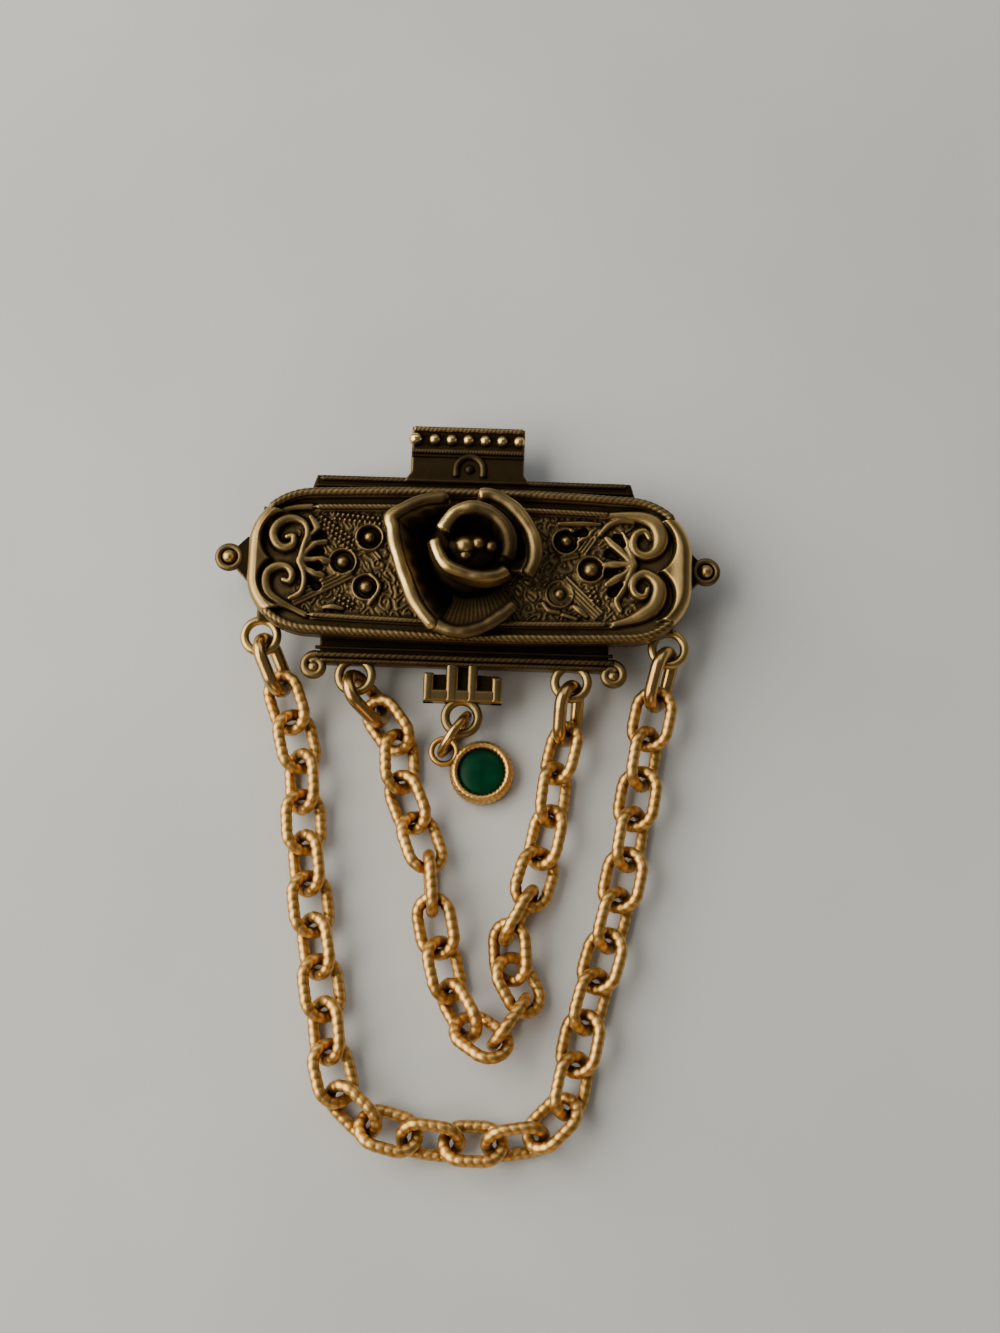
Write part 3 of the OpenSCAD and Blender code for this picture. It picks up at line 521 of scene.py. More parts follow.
# Height of the panel's face over its field, each form laid over the ones before it
def panelHeight(x, y):
    p = panel
    d = insideOutline(x, y)
    h = np.zeros_like(x)
    # The rims at the two ends: a slope from the crest by the outer edge down to the groove round the volutes
    wide = 0.85 + (p["rimWidth"] + 0.6) * ease((p["rimEnd"] - np.abs(y)) / 1.1)
    fade = ease((p["rimEnd"] + 0.9 - np.abs(y)) / 1.2) * ease((np.abs(x) - p["rimStart"]) / 1.4)
    for cx, cy, reach in p["volutes"]:
        clear = np.minimum(np.hypot(x - cx, y - cy), np.hypot(x - cx, y + cy)) - reach
        here = (np.sign(cx) * x > 0) * fade * ease((wide - d) / 0.5) * ease(clear / 0.45)
        h = np.maximum(h, here * p["rimHeight"] * (1 - 0.25 * ease((d - 0.8) / 1.5)))
    # Beds under the outer and the inner rope
    h = np.maximum(h, p["ropeBed"] * ease((1.05 - d) / 0.25))
    onSide = ease((p["rimStart"] - np.abs(x)) / 1.5)
    h = np.maximum(h, p["innerBed"] * onSide * ease(1 - (np.abs(d - p["innerInset"]) - 0.3) / 0.2))
    # A low collar round each boss, e^-((r - collarR)/0.2)^2
    for cx, cy in np.array(p["bosses"])[:, :2]:
        away = np.hypot(x - cx, y - cy)
        h = np.maximum(h, p["collarHeight"] * np.exp(-((away - p["collarR"]) / 0.2) ** 2))
    # Low foliage on the field: curls on a staggered net, ribs where cos(5 pi r / net + turn) is high round
    # each. The net is warped by slow waves, so that no two curls are alike.
    net, high = p["curl"]
    u = np.abs(x) + 0.3 * np.sin(1.7 * y + 0.9 * x) + 0.12 * np.sin(4.1 * y - 2.0 * x)
    v = y + 0.3 * np.sin(1.9 * x - 0.6 * y) + 0.12 * np.sin(3.7 * x + 1.3 * y)
    lane = np.floor(v / (0.87 * net) + 0.5)
    s, t = (u + 0.5 * net * lane) % net - 0.5 * net, v - 0.87 * net * lane
    ribs = np.cos(5 * np.pi * np.hypot(s, t) / net - np.arctan2(t, s) + 2.4 * lane)
    h = np.maximum(h, high * ease(0.6 + ribs) * ease((d - 2.3) / 0.3) * ease((17 - np.abs(x)) / 0.5))
    for rows in p["strokes"]:
        raiseStroke(x, y, h, rows, p["swell"])
    for x0, y0, x1, y1, count, gap in p["lines"]:
        along, across, length = bandAxes(x, y, x0, y0, x1, y1)
        ends = ease(along / 0.3) * ease((length - along) / 0.3)
        within = ends * ease((count * gap / 2 - np.abs(across)) / 0.08)
        wave = 0.5 + 0.5 * np.cos(2 * np.pi * across / gap + (0 if count % 2 else np.pi))
        h = np.maximum(h, within * (p["lineFoot"] + p["lineHeight"] * wave))
    for x0, y0, x1, y1, count in p["beads"]:
        size = p["beadSize"]
        along, across, length = bandAxes(x, y, x0, y0, x1, y1)
        across = across + size * count / 2
        lane = np.floor(across / size)
        within = (along > 0) & (along < length) & (lane >= 0) & (lane < count)
        q = np.hypot((along / size + 0.5 * lane) % 1 - 0.5, across / size - lane - 0.5)
        h = np.maximum(h, within * p["beadHeight"] * np.sqrt(np.clip(1 - (2.1 * q) ** 2, 0, 1)))
    # Sunk places: pits between the spokes, and a moat round each boss
    for x0, y0, x1, y1 in p["pits"]:
        dx, dy = x1 - x0, y1 - y0
        t = np.clip(((x - x0) * dx + (y - y0) * dy) / (dx ** 2 + dy ** 2), 0, 1)
        away = np.hypot(x - x0 - t * dx, y - y0 - t * dy) / (0.22 + 0.18 * t)
        sunk = ease(1.6 - away)
        h = h * (1 - sunk) - p["pitDepth"] * sunk
    for cx, cy, size, deep in p["bosses"]:
        away = np.hypot(x - cx, y - cy)
        moat = ease((p["moatR"] - away) / 0.2)
        h = h * (1 - moat) - deep * moat
        crown = p["bossHeight"] * np.sqrt(np.clip(1 - (2 * away / size) ** 2, 0, 1)) - 0.1
        h = np.maximum(h, np.where(away < size / 2, crown, -9))
    return h


# The panel's relief and its four ropes
def frontPanel():
    p = panel
    x, y = panelGrid(p["gridStep"])
    h = panelHeight(x, y)
    edge = insideOutline(x, y)
    onEnd = ease((np.abs(x) - 16.5) / 2)
    proud = 0.45 * (h - blurred(h, 5)) * ease(edge / 0.5)
    # Paler with height and on raised forms as wear, and a little paler toward the right end as painted light
    wearAndPaintedLight = 0.32 + 0.2 * np.minimum(h, 0.8) + proud + 0.06 * ease((x - 9) / 4)
    # The outer edge of each end rim is paler: rubbed wear with a painted highlight
    wearAndPaintedLight = np.clip(wearAndPaintedLight, 0, 0.72) + 0.25 * ease((0.8 - edge) / 0.4) * onEnd
    # The border rolls down by a quarter circle, and the end rims slope down to it from their crest
    border = p["roll"]
    rolled = border * (1 - np.sqrt(1 - np.clip(1 - edge / border, 0, 1) ** 2))
    z = p["field"] + h - rolled - 0.55 * onEnd * np.clip(0.9 - edge, 0, 0.9)
    skins = [relief(x, y, z, p["foot"], wearAndPaintedLight)]
    # The outer rope runs round the corners and dies away on the end rims
    r, straight = p["corner"] - p["ropeInset"], p["length"] / 2 - p["corner"]
    flat = p["width"] / 2 - p["corner"]
    turn = np.radians(np.linspace(38, 90, 9))
    arc = np.stack([straight + r * np.cos(turn), flat + r * np.sin(turn)], axis=1)
    side = np.stack([np.linspace(straight - 1.5, -straight + 1.5, 12), np.full(12, flat + r)], axis=1)
    path = np.vstack([arc, side, (arc * [-1, 1])[::-1]])
    for sign in (1, -1):
        along = path[:, 0] + p["shift"]
        rows = np.column_stack([along, path[:, 1] * sign * bowed(along), np.full(len(path), p["ropeZ"])])
        skins += [rope(rows, p["ropeSize"], p["ropePitch"], 14, step=0.1, fade=0.9, hand=sign)]
        along = np.linspace(-15.4, 14.2, 12)
        level = sign * (p["width"] / 2 - p["innerInset"]) * bowed(along)
        rows = np.column_stack([along, level, np.full(12, p["innerZ"])])
        skins += [rope(rows, p["innerSize"], p["innerPitch"], step=0.1, fade=0.6, hand=-sign)]
    makePiece("frontPanelCast", skins, antiqueBrass, ["front_panel"])


frontPanel()

# Rose: three outer petals on a disc, and a bud of two petals round four knobs
rose = {
    "middle": (0.5, 1.2), "base": 5.72, "heartBase": 7.15, "top": 9.55, "heartTop": 10.34, "wall": 0.42,
    # Discs under the petals and under the bud: rows of radius, height
    "disc": [[0, 0], [4.3, 0], [4.4, 0.1], [4.3, 1.1], [3.6, 1.35], [0.5, 1.3], [0, 1.3]],
    "heartDisc": [[0, 0], [2.2, 0], [2.3, 0.1], [2.2, 0.7], [0.4, 0.8], [0, 0.8]],
    # Columns of an edge: x, y, depth below the top, rim level: rubbed wear with a painted highlight,
    # brightest where the rim faces the light from the left
    "left": [[-1.9, 6.2, 0.7, 0.5], [-4.3, 5.7, 0.5, 0.52], [-6, 4.8, 0.2, 0.58], [-7.4, 3.7, 0, 0.84],
        [-7.2, 2.6, 0, 1], [-7, 1.3, 0.1, 0.86], [-6.6, 0, 0.2, 1], [-6.2, -1.2, 0.3, 0.86],
        [-5.7, -2.4, 0.5, 0.96], [-5, -4.1, 0.6, 0.74], [-4, -5.6, 0.6, 0.88], [-2.7, -7, 0.9, 1]],
    "bottom": [[-2.9, -6.4, 1.4, 0.56], [-1.4, -7.1, 1.2, 0.52], [0.2, -7.2, 1.2, 0.48],
        [1.8, -6.6, 1.3, 0.46], [3.3, -5.6, 1.4, 0.5], [4.9, -4.1, 1.7, 0.54]],
    "right": [[0.9, 6.3, 0.4, 1], [2.2, 6.4, 0.4, 0.6], [3.5, 5.8, 0.3, 0.6], [4.8, 4.7, 0.2, 0.64],
        [6, 3.1, 0.2, 0.7], [6.6, 1.5, 0.3, 0.74], [6.6, 0, 0.6, 0.6], [5.9, -1.6, 1, 0.42]],
    "heartUpper": [[-2.5, 2.2, 0.3, 0.95], [-1.9, 3.3, 0.2, 1], [-1, 4.3, 0.1, 0.9], [0.5, 4.7, 0, 0.58],
        [2.2, 4.3, 0.1, 0.52], [3.5, 3.2, 0.2, 0.46], [4.1, 2, 0.3, 0.4], [4.2, 0.7, 0.4, 0.34],
        [3.9, -0.3, 0.6, 0.26]],
    "heartLower": [[-3.1, 1.6, 0.5, 0.7], [-2.7, 0.2, 0.4, 0.96], [-1.8, -1.1, 0.4, 0.86],
        [0, -1.8, 0.5, 0.62], [1.8, -2.1, 0.5, 0.6], [3.2, -1.8, 0.6, 0.6], [4.1, -1.2, 0.7, 0.7]],
    # Knobs of the bud: x, y, size, height, worn level
    "knobs": [(-0.2, 1.2, 1.95, 9.35, 0.66), (-0.1, 0.3, 1.3, 8.9, 0.55), (1.1, 1.5, 1.35, 9.0, 0.6),
              (2.4, 1.3, 1.2, 8.7, 0.45)]}


# Petal: a wall between its foot and its edge. At height v its middle line is drawn in to the rose's
# middle by pull (1 - v)^flare, so that a flare below 1 spreads its lip, and its rim rolls over in a half
# circle that two sine waves along s thicken and thin. Its outer face swells by belly sin(pi v). Flutes are
# cos(2 pi n s) waves on the inner face, deepest near the rim.
def petal(rows, foot, top, size, pull=0.46, flare=0.75, flutes=8, fluteDeep=0.05, inside=0.14, belly=0.0):
    edge = evenCurve(rows, 0.14)
    n = len(edge)
    s = np.linspace(0, 1, n)
    centre = np.array(rose["middle"])
    run = np.gradient(edge[:, :2], axis=0)
    out = np.stack([run[:, 1], -run[:, 0]], axis=1)
    out /= np.linalg.norm(out, axis=1)[:, None]
    out *= np.sign(((edge[:, :2] - centre) * out).sum(axis=1))[:, None]
    ends = np.sqrt(np.clip(1 - (1 - np.minimum(s, 1 - s) / 0.035).clip(0, 1) ** 2, 0.02, 1))
    rim = size / 2 * ends * (1 + 0.05 * np.sin(17 * s + 1.3) + 0.02 * np.sin(41 * s))
    high = top - edge[:, 2] - size / 2
    v = 1 - np.linspace(1, 0, 18) ** 1.4
    inward = 1 - pull * (1 - v) ** flare
    middle = centre + (edge[:, None, :2] - centre) * inward[None, :, None]
    z = foot + (high[:, None] - foot) * v
    half = rose["wall"] / 2 + (rim[:, None] - rose["wall"] / 2) * v ** 5
    wave = fluteDeep * np.cos(2 * np.pi * flutes * s)[:, None] * (v ** 1.5 * (1 - v ** 8))

    # Points a distance off a line, at a height
    def beside(line, off, height):
        return np.concatenate([line + out[:, None, :] * off[:, :, None], height[:, :, None]], axis=2)

    a = np.linspace(0, np.pi, 9)[1:-1]
    outer = beside(middle, half + 0.4 * wave + belly * np.sin(np.pi * v), z)
    roof = beside(middle[:, -1:], rim[:, None] * np.cos(a), z[:, -1:] + rim[:, None] * np.sin(a))
    inner = beside(middle, -(half + wave), z)[:, ::-1]
    loop = np.concatenate([outer, roof, inner], axis=1)
    cols = loop.shape[1]
    # Rubbed metal on the rim with a painted highlight, brightest on its outer half; half worn outside, dark
    # inside and between the flutes
    rimWearAndHighlight = edge[:, 3:]
    between = np.cos(2 * np.pi * flutes * s)[:, None] * (1 - v ** 6)[::-1]
    wornInside = (inside + (0.42 - inside) * v ** 3)[::-1] * (1 + 0.35 * between)
    wearAndPaintedLight = np.hstack([0.4 + (rimWearAndHighlight - 0.4) * v ** 5, rimWearAndHighlight * (0.8 + 0.25 * np.cos(a)), wornInside])
    points = np.vstack([loop.reshape(-1, 3), loop[[0, -1]].mean(axis=1)])
    wearAndPaintedLight = np.r_[wearAndPaintedLight.reshape(-1), 0.5, 0.5]
    return skin(points, gridQuads(n, cols, False, True), capTris(n, cols), wearAndPaintedLight)


# The rose's two castings
def roseFlower():
    cx, cy = rose["middle"]
    outer = [turned((cx, cy, rose["base"]), rose["disc"], 0.05)]
    foot, top = rose["base"] + 0.1, rose["top"]
    outer += [petal(rose["left"], foot, top, 1.36, flutes=9, inside=0.06)]
    outer += [petal(rose["bottom"], foot, top, 1.35, flare=1.1, flutes=16, fluteDeep=0.07, inside=0.34)]
    outer += [petal(rose["right"], foot, top, 1.45)]
    makePiece("rosePetalsCast", outer, antiqueBrass, ["rose_petals"])
    heart = [turned((cx, cy, rose["heartBase"]), rose["heartDisc"], 0.2)]
    foot, top = rose["heartBase"] + 0.1, rose["heartTop"]
    heart += [petal(rose["heartUpper"], foot, top, 1.4, pull=0.2, flare=0.9, fluteDeep=0.03, inside=0.3)]
    heart.append(petal(rose["heartLower"], foot, top, 1.25, pull=0.12, flare=0.9, flutes=6, fluteDeep=0.03,
                       inside=0.3, belly=0.8))
    low = rose["heartBase"] + 0.2
    for x, y, size, high, wearAndPaintedLight in rose["knobs"]:
        r = size / 2
        crown = [[r * math.cos(v), high - r + r * math.sin(v)] for v in np.linspace(0, np.pi / 2, 8)[:-1]]
        heart += [turned((x, y, 0), [[0, low], [r, low]] + crown + [[0, high]], wearAndPaintedLight, 20)]
    makePiece("roseHeartCast", heart, antiqueBrass, ["rose_heart"])


roseFlower()

# Back plate: bar, ledge, strip, crest tab, Greek key, five loops, volutes and finials
plate = {
    "back": 3.0, "top": 4.2, "barX": 20.6, "barY": 6.0,
    "ledgeX": 15.75, "ledgeY": 9.5, "ledgeFlare": 1.4, "ledgeShift": 0.35, "stripX": 14.2, "stripY": -9.9,
    "crestX": 5.7, "crestY": 14.8, "crestTop": 4.7, "crestFlare": 0.6, "crestShift": -0.35,
    "beads": 7, "beadPitch": 1.7, "beadY": 13.4, "beadSize": 1.16, "ridgeY": 12.15,
    "archY": 10.3, "archX": -0.1, "archR": 1.35, "archWire": 0.76,
    "keyX": 3.85, "keyY": -13.4, "keyStroke": 1.0, "keyFoot": 1.3, "keySlot": 0.9, "keyHook": 2.9,
    "keyBack": 3.15, "keyTop": 4.3, "keyTall": 4.1,
    "loops": [(-20.1, -7.3), (20.1, -7.3), (-10.6, -11.0), (10.6, -11.0), (0.0, -14.8)],
    "loopR": 1.6, "loopWire": 0.9, "loopZ": 3.6,
    "voluteX": 14.6, "voluteY": -10.2, "voluteR": 1.2, "voluteWire": 0.9,
    "finialX": 23.7, "finialY": 0.6, "finialR": 1.1,
    # The finial's cup: rows of radius, height
    "cup": [[0, 0.1], [1.1, 0.1], [1.15, 0.2], [1.15, 0.9], [0.8, 0.95], [0.5, 0.7], [0, 0.7]]}


# Slab of a four-sided or tapering outline: x runs from -X(y) to X(y), the top rounds down by a quarter
# circle at its border, and that border is paler: rubbed wear with a painted highlight
def slab(rowY, halfX, back, top, wearAndPaintedLight, middleX=0.0, edge=0.18, columns=120, texture=None):
    halfX = np.broadcast_to(halfX, len(rowY))[:, None]
    t = np.linspace(-1, 1, columns)
    t = np.sign(t) * (1 - (1 - np.abs(t)) ** 1.15)
    x = middleX + halfX * t
    y = np.broadcast_to(rowY[:, None], x.shape)
    inX = halfX * (1 - np.abs(t))
    inY = np.minimum(rowY - rowY[0], rowY[-1] - rowY)[:, None]
    inside = np.clip(np.minimum(inX, inY) / edge, 0, 1)
    z = top - edge * (1 - np.sqrt(np.clip(1 - (1 - inside) ** 2, 0, 1)))
    # Paler toward the border: rubbed wear and a painted highlight along the edges
    rubbedEdgeAndHighlight = wearAndPaintedLight + 0.45 * (1 - inside) + 0 * x
    if texture is not None:
        z = z + texture(x, y)
    return relief(x, y, z, back, np.clip(rubbedEdgeAndHighlight, 0, 1))


# Bar of rounded-square section, one stroke of the key
def fretBar(lowX, lowY, highX, highY, proud=0.0):
    rows = np.linspace(lowY, highY, max(12, int((highY - lowY) / 0.08)))
    columns = max(12, int((highX - lowX) / 0.08))
    back, top = plate["keyBack"] - proud, plate["keyTop"] + proud
    return slab(rows, (highX - lowX) / 2, back, top, 0.36, (lowX + highX) / 2, 0.36, columns)


# The back plate with all that is cast on it
def backPlate():
    p = plate
    skins = []
    rows = np.linspace(-p["barY"], p["barY"], 60)
    skins += [slab(rows, p["barX"], p["back"], p["top"], 0.25)]
    rows = np.linspace(p["barY"] - 1, p["ledgeY"], 50)
    flare = p["ledgeFlare"] * (p["ledgeY"] - rows) / (p["ledgeY"] - p["barY"] + 1)
    skins += [slab(rows, p["ledgeX"] + flare, p["back"], p["top"], 0.1, p["ledgeShift"])]
    rows = np.linspace(p["stripY"], 0, 60)
    skins += [slab(rows, p["stripX"], p["back"], p["top"], 0.08)]
    # Ropes and plain lines along the long edges: level, half length, middle, size, pitch (0 if plain)
    ledge, strip, shift = p["ledgeY"], p["stripY"], p["ledgeShift"]
    edges = [
        (ledge - 0.35, p["ledgeX"] - 0.3, shift, 0.62, 0.5), (ledge - 1.1, p["ledgeX"], shift, 0.36, 0),
        (ledge - 1.6, p["ledgeX"] + 0.1, shift, 0.36, 0), (strip + 0.85, p["stripX"] + 0.6, 0.1, 0.7, 0.6),
        (strip + 0.28, p["stripX"], 0, 0.46, 0.45), (strip + 1.55, p["stripX"] + 0.4, 0, 0.36, 0)]
    for level, half, middle, size, pitch in edges:
        line = [[middle + k, level, p["top"]] for k in np.linspace(-half, half, 9)]
        if pitch:
            skins += [rope(line, size, pitch, step=0.1, fade=0.3, groove=0.14, ridge=0.42)]
        else:
            skins += [wire(line, size, 0.24, 10)]
    # Crest tab with a concave flare at its foot
    low, mid = p["ledgeY"] - 0.6, p["crestShift"]
    rows = np.r_[np.linspace(low, low + 1.2, 16), np.linspace(low + 1.25, p["crestY"], 44)]
    flare = p["crestFlare"] * (1 - ease((rows - low) / 1.2))

    # A shallow hollow behind the beads
    def hollow(x, y):
        behind = np.exp(-((y - p["beadY"]) / 0.55) ** 2)
        return -0.32 * behind * ease((p["crestX"] - np.abs(x - mid)) / 0.3)

    # A straight line over the crest's width
    def across(level):
        reach = p["crestX"] - 0.1
        return [[mid + k, level, p["crestTop"]] for k in np.linspace(-reach, reach, 6)]

    skins += [slab(rows, p["crestX"] + flare, p["back"], p["crestTop"], 0.17, mid, 0.32, texture=hollow)]
    skins.append(rope(across(p["crestY"] - 0.33), 0.62, 0.42, step=0.08, lobes=2, fade=0.2,
                      groove=0.25, ridge=0.64))
    # The first bead is larger than the others, and painted brighter as a highlight
    for k in range(p["beads"]):
        first = k == 0
        x = mid + (k - (p["beads"] - 1) / 2) * p["beadPitch"] - 0.2 * first
        place = (x, p["beadY"], p["crestTop"] - 0.05)
        skins += [dome(place, p["beadSize"] + 0.2 * first, 0.88 + 0.12 * first, 1.05)]
    skins.append(rope(across(p["ridgeY"]), 0.6, 0.3, step=0.06, lobes=2, low=0.88,
                      groove=0.16, ridge=0.42))
    skins += [wire(across(p["ridgeY"] - 0.5), 0.36, 0.2, 10)]
    cx, cy, r, top = p["archX"], p["archY"], p["archR"], p["crestTop"]
    bow = [[cx + r * math.cos(a), cy + r * math.sin(a), top] for a in np.radians(np.linspace(0, 180, 13))]
    skins += [wire([[cx + r, cy - 0.8, top]] + bow + [[cx - r, cy - 0.8, top]], p["archWire"], 0.28)]
    skins += [dome((cx, cy, top - 0.1), 1.1, 0.2)]
    # Greek key: two hooks that turn outwards, on a bar across their feet
    end, w, foot, slot = p["keyX"], p["keyStroke"], p["keyY"], p["keySlot"] / 2
    skins += [fretBar(-end, foot, end, foot + p["keyFoot"])]
    strokes = [(-end, w - end, p["keyHook"]), (end - w, end, p["keyHook"] - 0.3),
               (-slot - w - 0.2, -slot, p["keyTall"]), (slot, slot + w, p["keyTall"])]
    for low, high, tall in strokes:
        skins += [fretBar(low, foot, high, foot + tall, 0.04)]
    # A dark web lies low behind the key's slots and darkens them
    hook = foot + p["keyHook"]
    rows = np.r_[np.linspace(foot + 0.5, hook - 0.1, 16), np.linspace(hook, foot + 4, 10)]
    wide = np.where(rows < hook - 0.05, end - 0.3, slot + 0.5)
    skins += [slab(rows, wide, p["keyBack"], p["keyBack"] + 0.35, 0.1, 0, 0.1, 40)]
    for x, y in p["loops"]:
        skins += [ring((x, y, p["loopZ"]), p["loopR"], p["loopWire"], 0.55 + 0.01 * abs(x), steps=72)]
    # Volutes that end the strip, and finials with a cup and a boss
    for s in (1, -1):
        t = np.linspace(0, 1, 30)
        a = np.radians(110 - 430 * t)
        r = p["voluteR"] * (1 - 0.6 * t)
        x, y = s * (p["voluteX"] + r * np.cos(a)), p["voluteY"] + r * np.sin(a)
        curl = np.stack([x, y, np.full(30, p["top"] - 0.3)], axis=1)
        skins += [wire(curl, p["voluteWire"], 0.52, step=0.12)]
        skins += [dome((s * (p["voluteX"] + 0.1), p["voluteY"] - 0.1, p["top"] - 0.3), 1.2, 0.6)]
        fx, fy = s * p["finialX"], p["finialY"]
        rows = np.linspace(fy - 2.2, fy + 2.2, 40)
        taper = np.interp(np.abs(rows - fy), [0, 0.8, 2.2], [1.8, 1.8, 0.45])
        skins += [slab(rows, taper, p["back"] + 0.1, p["top"], 0.1, s * (p["barX"] + 0.9), 0.18, 40)]
        skins += [turned((fx, fy, p["back"]), p["cup"], 0.15)]
        skins += [ring((fx, fy, p["back"] + 1.0), p["finialR"], 0.7, 0.45, steps=48)]
        skins += [dome((fx, fy, p["back"] + 1.15), 1.4, 0.75)]
    makePiece("backPlateCast", skins, antiqueBrass, ["back_plate"])


backPlate()

# Chains: every link is the same nicked wire oval, the four end links are plain and a little stouter
chain = {
    "length": 6.68, "width": 4.78, "wire": 1.18, "plainWire": 1.3, "steps": 152, "around": 12,
    "nickPitch": 0.84, "nickDeep": 0.08, "nickWide": 0.3, "wearAndPaintedLight": 0.8, "nickDark": 0.14}


# Links of a CAD node: loose triangles are joined where their corners meet, every corner takes the lowest
# number among its neighbours until nothing changes, and each group's area-weighted covariance gives its
# long, wide and flat directions.
def linkPlaces(node):
    mesh = cadNodes[node].data
    co = np.zeros(len(mesh.vertices) * 3)
    mesh.vertices.foreach_get("co", co)
    co = co.reshape(-1, 3) * 1000 - barMiddle
    mesh.calc_loop_triangles()
    tris = np.zeros(len(mesh.loop_triangles) * 3, int)
    mesh.loop_triangles.foreach_get("vertices", tris)
    keys, merged = np.unique(np.round(co, 3), axis=0, return_inverse=True)
    tris = merged.reshape(-1)[tris.reshape(-1, 3)]
    label = np.arange(len(keys))
    while True:
        low = label[tris].min(axis=1)
        new = label.copy()
        for k in range(3):
            np.minimum.at(new, tris[:, k], low)
        new = new[new]
        if (new == label).all():
            break
        label = new
    found = []
    for one in np.unique(label[tris[:, 0]]):
        own = keys[tris[label[tris[:, 0]] == one]]
        area = np.linalg.norm(np.cross(own[:, 1] - own[:, 0], own[:, 2] - own[:, 0]), axis=1)
        spot = own.mean(axis=1)
        middle = (spot * area[:, None]).sum(axis=0) / area.sum()
        spread = ((spot - middle) * area[:, None]).T @ (spot - middle)
        found.append((middle, np.linalg.eigh(spread)[1][:, ::-1].T))
    return found


# Link: the wire's middle line is a stadium, two half circles of radius R joined by straights, and its radius
# is w/2 (1 - deep n(s)), where n is 1 in the middle of each nick and falls to 0 at its sides
def linkSkin(middle, axes, nicked):
    c = chain
    r, straight = (c["width"] - c["wire"]) / 2, c["length"] - c["width"]
    length = 2 * math.pi * r + 2 * straight
    s = np.arange(c["steps"]) / c["steps"] * length
    half = length / 2
    t = s % half
    turn = np.clip((t - straight) / r, 0, np.pi)
    flip = np.where(s < half, 1, -1)
    run = np.clip(t, 0, straight) - straight / 2
    px = flip * (-run - r * np.sin(turn))
    py = flip * (r * np.cos(turn))
    out = np.stack([flip * -np.sin(turn), flip * np.cos(turn), 0 * s], axis=1)
    flat = np.broadcast_to([0.0, 0.0, 1.0], out.shape)
    a = circle(c["around"])
    radius = np.full((c["steps"], c["around"]), c["wire" if nicked else "plainWire"] / 2)
    wearAndPaintedLight = np.full(radius.shape, c["wearAndPaintedLight"])
    if nicked:
        nicks = round(length / c["nickPitch"])
        phase = (s[:, None] / length * nicks + 0.3 * np.sin(a)) % 1
        depth = ease(1 - np.abs(phase - 0.5) * c["nickPitch"] / c["nickWide"])
        radius = radius * (1 - c["nickDeep"] * depth)
        wearAndPaintedLight = c["wearAndPaintedLight"] - c["nickDark"] * depth
    local = np.stack([px, py, 0 * s], axis=1)
    axes = np.array(axes)
    if np.linalg.det(axes) < 0:
        axes[2] = -axes[2]
    return bar(middle + local @ axes, out @ axes, flat @ axes, radius, wearAndPaintedLight, True)


# Both festoons and the four plain links, each link laid where its CAD solid lies
def chains():
    for node, name in (("outer_chain", "outerChainLinks"), ("inner_chain", "innerChainLinks")):
        skins = [linkSkin(middle, axes, True) for middle, axes in linkPlaces(node)]
        print(name, len(skins), "links")
        makePiece(name, skins, giltWire, [node])
    for k in range(1, 5):
        node = "end_link_%d" % k
        middle, axes = linkPlaces(node)[0]
        makePiece("plainEndLink%d" % k, [linkSkin(middle, axes, False)], plainWire, [node])


chains()

# Drop: a jump ring, a milled cup with its bail, and a cabochon
drop = {
    "place": (2.1, -19.75), "foot": 0.05, "size": 6.4, "teeth": 34, "stone": 4.7, "girdle": 1.2, "rise": 0.62,
    "bail": (-1.65, -17.85, 1.45), "bailR": 1.25, "bailWire": 0.6,
    "ring": (-0.65, -16.35, 2.7), "ringTurn": 237, "ringSize": 5.4, "ringWire": 0.85,
    # The cup's wall: rows of distance in from the rim, height
    "wall": [(0.35, 0), (0.12, 0.12), (0.05, 0.5), (0.1, 1.2), (0.2, 1.6), (0.42, 1.88), (0.62, 1.93),
             (0.85, 1.72), (0.92, 1.4), (0.9, 0.75)]}


# Cup with its bail, jump ring and stone
def dropPieces():
    d = drop
    x, y = d["place"]
    r = d["size"] / 2
    # Cup with a milled edge, its lip drawn in over the stone
    cup = [[0, 0]] + [[r - inset, high] for inset, high in d["wall"]] + [[0.3, 0.7], [0, 0.7]]
    skins = [turned((x, y, d["foot"]), cup, 0.8, 128, 0.018, d["teeth"])]
    skins.append(ring((x, y, d["foot"] + 1.3), r - 0.36, 0.62, 0.75,
                      steps=6 * d["teeth"], around=12, dent=0.35, dents=d["teeth"]))
    skins += [ring(d["bail"], d["bailR"], d["bailWire"], 0.75)]
    makePiece("dropBezelCup", skins, giltWire, ["drop_bezel"])
    turn = math.radians(d["ringTurn"])
    run = (math.cos(turn), math.sin(turn), 0)
    jump = ring(d["ring"], (d["ringSize"] - d["ringWire"]) / 2, d["ringWire"], 0.8, run, (0, 0, 1), 96, 18)
    makePiece("dropJumpRing", [jump], plainWire, ["drop_ring"])
    # Cabochon: a low dome over a straight girdle
    s = d["stone"] / 2
    v = np.linspace(0, 1, 14)[:-1] * math.pi / 2
    crown = [[s * math.cos(t), d["girdle"] + d["rise"] * math.sin(t)] for t in v]
    profile = [[0, 0.78], [s - 0.06, 0.78], [s, 0.84]] + crown + [[0, d["girdle"] + d["rise"]]]
    stone = turned((x, y, 0), profile, 1.0, 64)
    makePiece("dropStoneCabochon", [stone], stoneGlass, ["drop_stone"])


dropPieces()

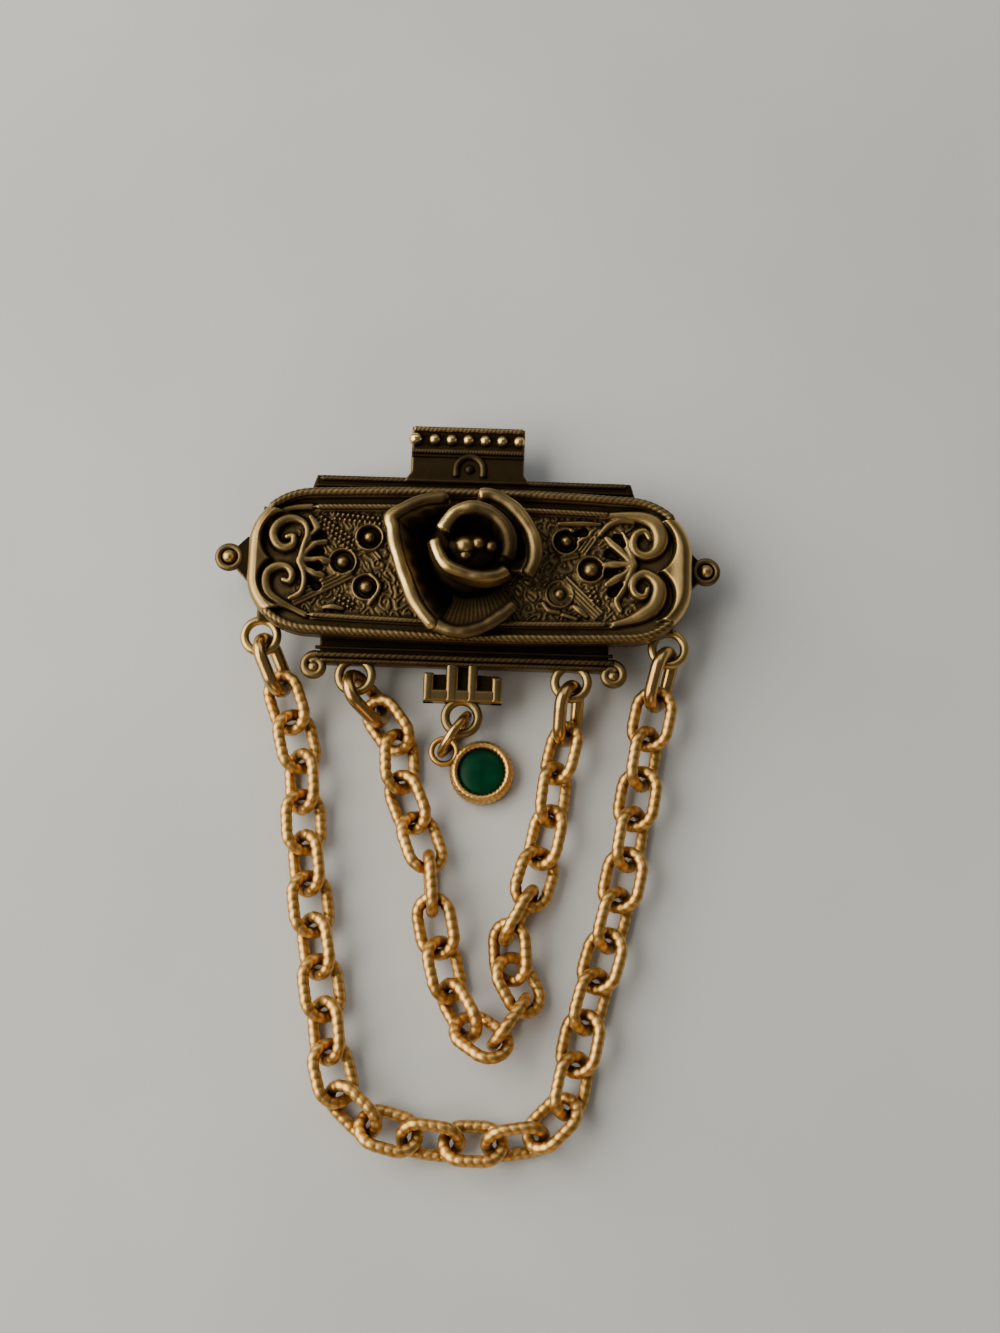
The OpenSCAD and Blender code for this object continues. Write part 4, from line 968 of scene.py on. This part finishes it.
# The pin back keeps its CAD shape
pin = cadNodes["pin_back"]
pin.data.materials.clear()
pin.data.materials.append(sheetBrass)


# Table, lights and world. A lamp's values: place and size in metres, power in watts, colour
studio = {
    "floorSize": 1.6, "mottleSize": 40, "card": ("#bbbdbb", "#c2c4c2"), "room": "#d2d3d2", "sky": 0.22,
    "lamps": {
        "windowLight": ((-0.33, 0.03, 0.24), (0.56, 0.46), 4.5, "#fff9ee"),
        "skyLight": ((0.05, 0.42, 0.4), (0.6, 0.35), 0.75, "#eef2f4"),
        "warmBounce": ((0.12, -0.45, 0.2), (0.3, 0.2), 0.25, "#ffc48a")}}


# Matte card: pale grey with a faint mottle
def tableCard():
    material, tree = emptyMaterial("matte grey card")
    dark, pale = studio["card"]
    colour = rampOf(tree, noise(tree, studio["mottleSize"], 3.0), [(0.35, dark), (0.65, pale)])
    addShader(tree, {"Base Color": colour, "Roughness": 0.95, "Specular IOR Level": 0.1})
    return material


half = studio["floorSize"] / 2
floorMesh = bpy.data.meshes.new("tableCard")
corners = [(-half, -half, 0), (half, -half, 0), (half, half, 0), (-half, half, 0)]
floorMesh.from_pydata(corners, [], [(0, 1, 2, 3)])
floorMesh.materials.append(tableCard())
tableTop = bpy.data.objects.new("tableCard", floorMesh)
bpy.context.scene.collection.objects.link(tableTop)


# Soft square lamp that faces the brooch
def lamp(name, place, size, watts, colour):
    data = bpy.data.lights.new(name, "AREA")
    data.shape = "RECTANGLE"
    data.size, data.size_y = size
    data.energy = watts
    data.color = linear(colour)[:3]
    made = bpy.data.objects.new(name, data)
    made.location = Vector(place)
    made.rotation_euler = (Vector((0, 0, 0)) - Vector(place)).to_track_quat("-Z", "Y").to_euler()
    bpy.context.scene.collection.objects.link(made)


for name, values in studio["lamps"].items():
    lamp(name, *values)
world = bpy.data.worlds.new("dim room")
world.use_nodes = True
background = world.node_tree.nodes["Background"].inputs
background["Color"].default_value = linear(studio["room"])
background["Strength"].default_value = studio["sky"]
bpy.context.scene.world = world
print("studio set")
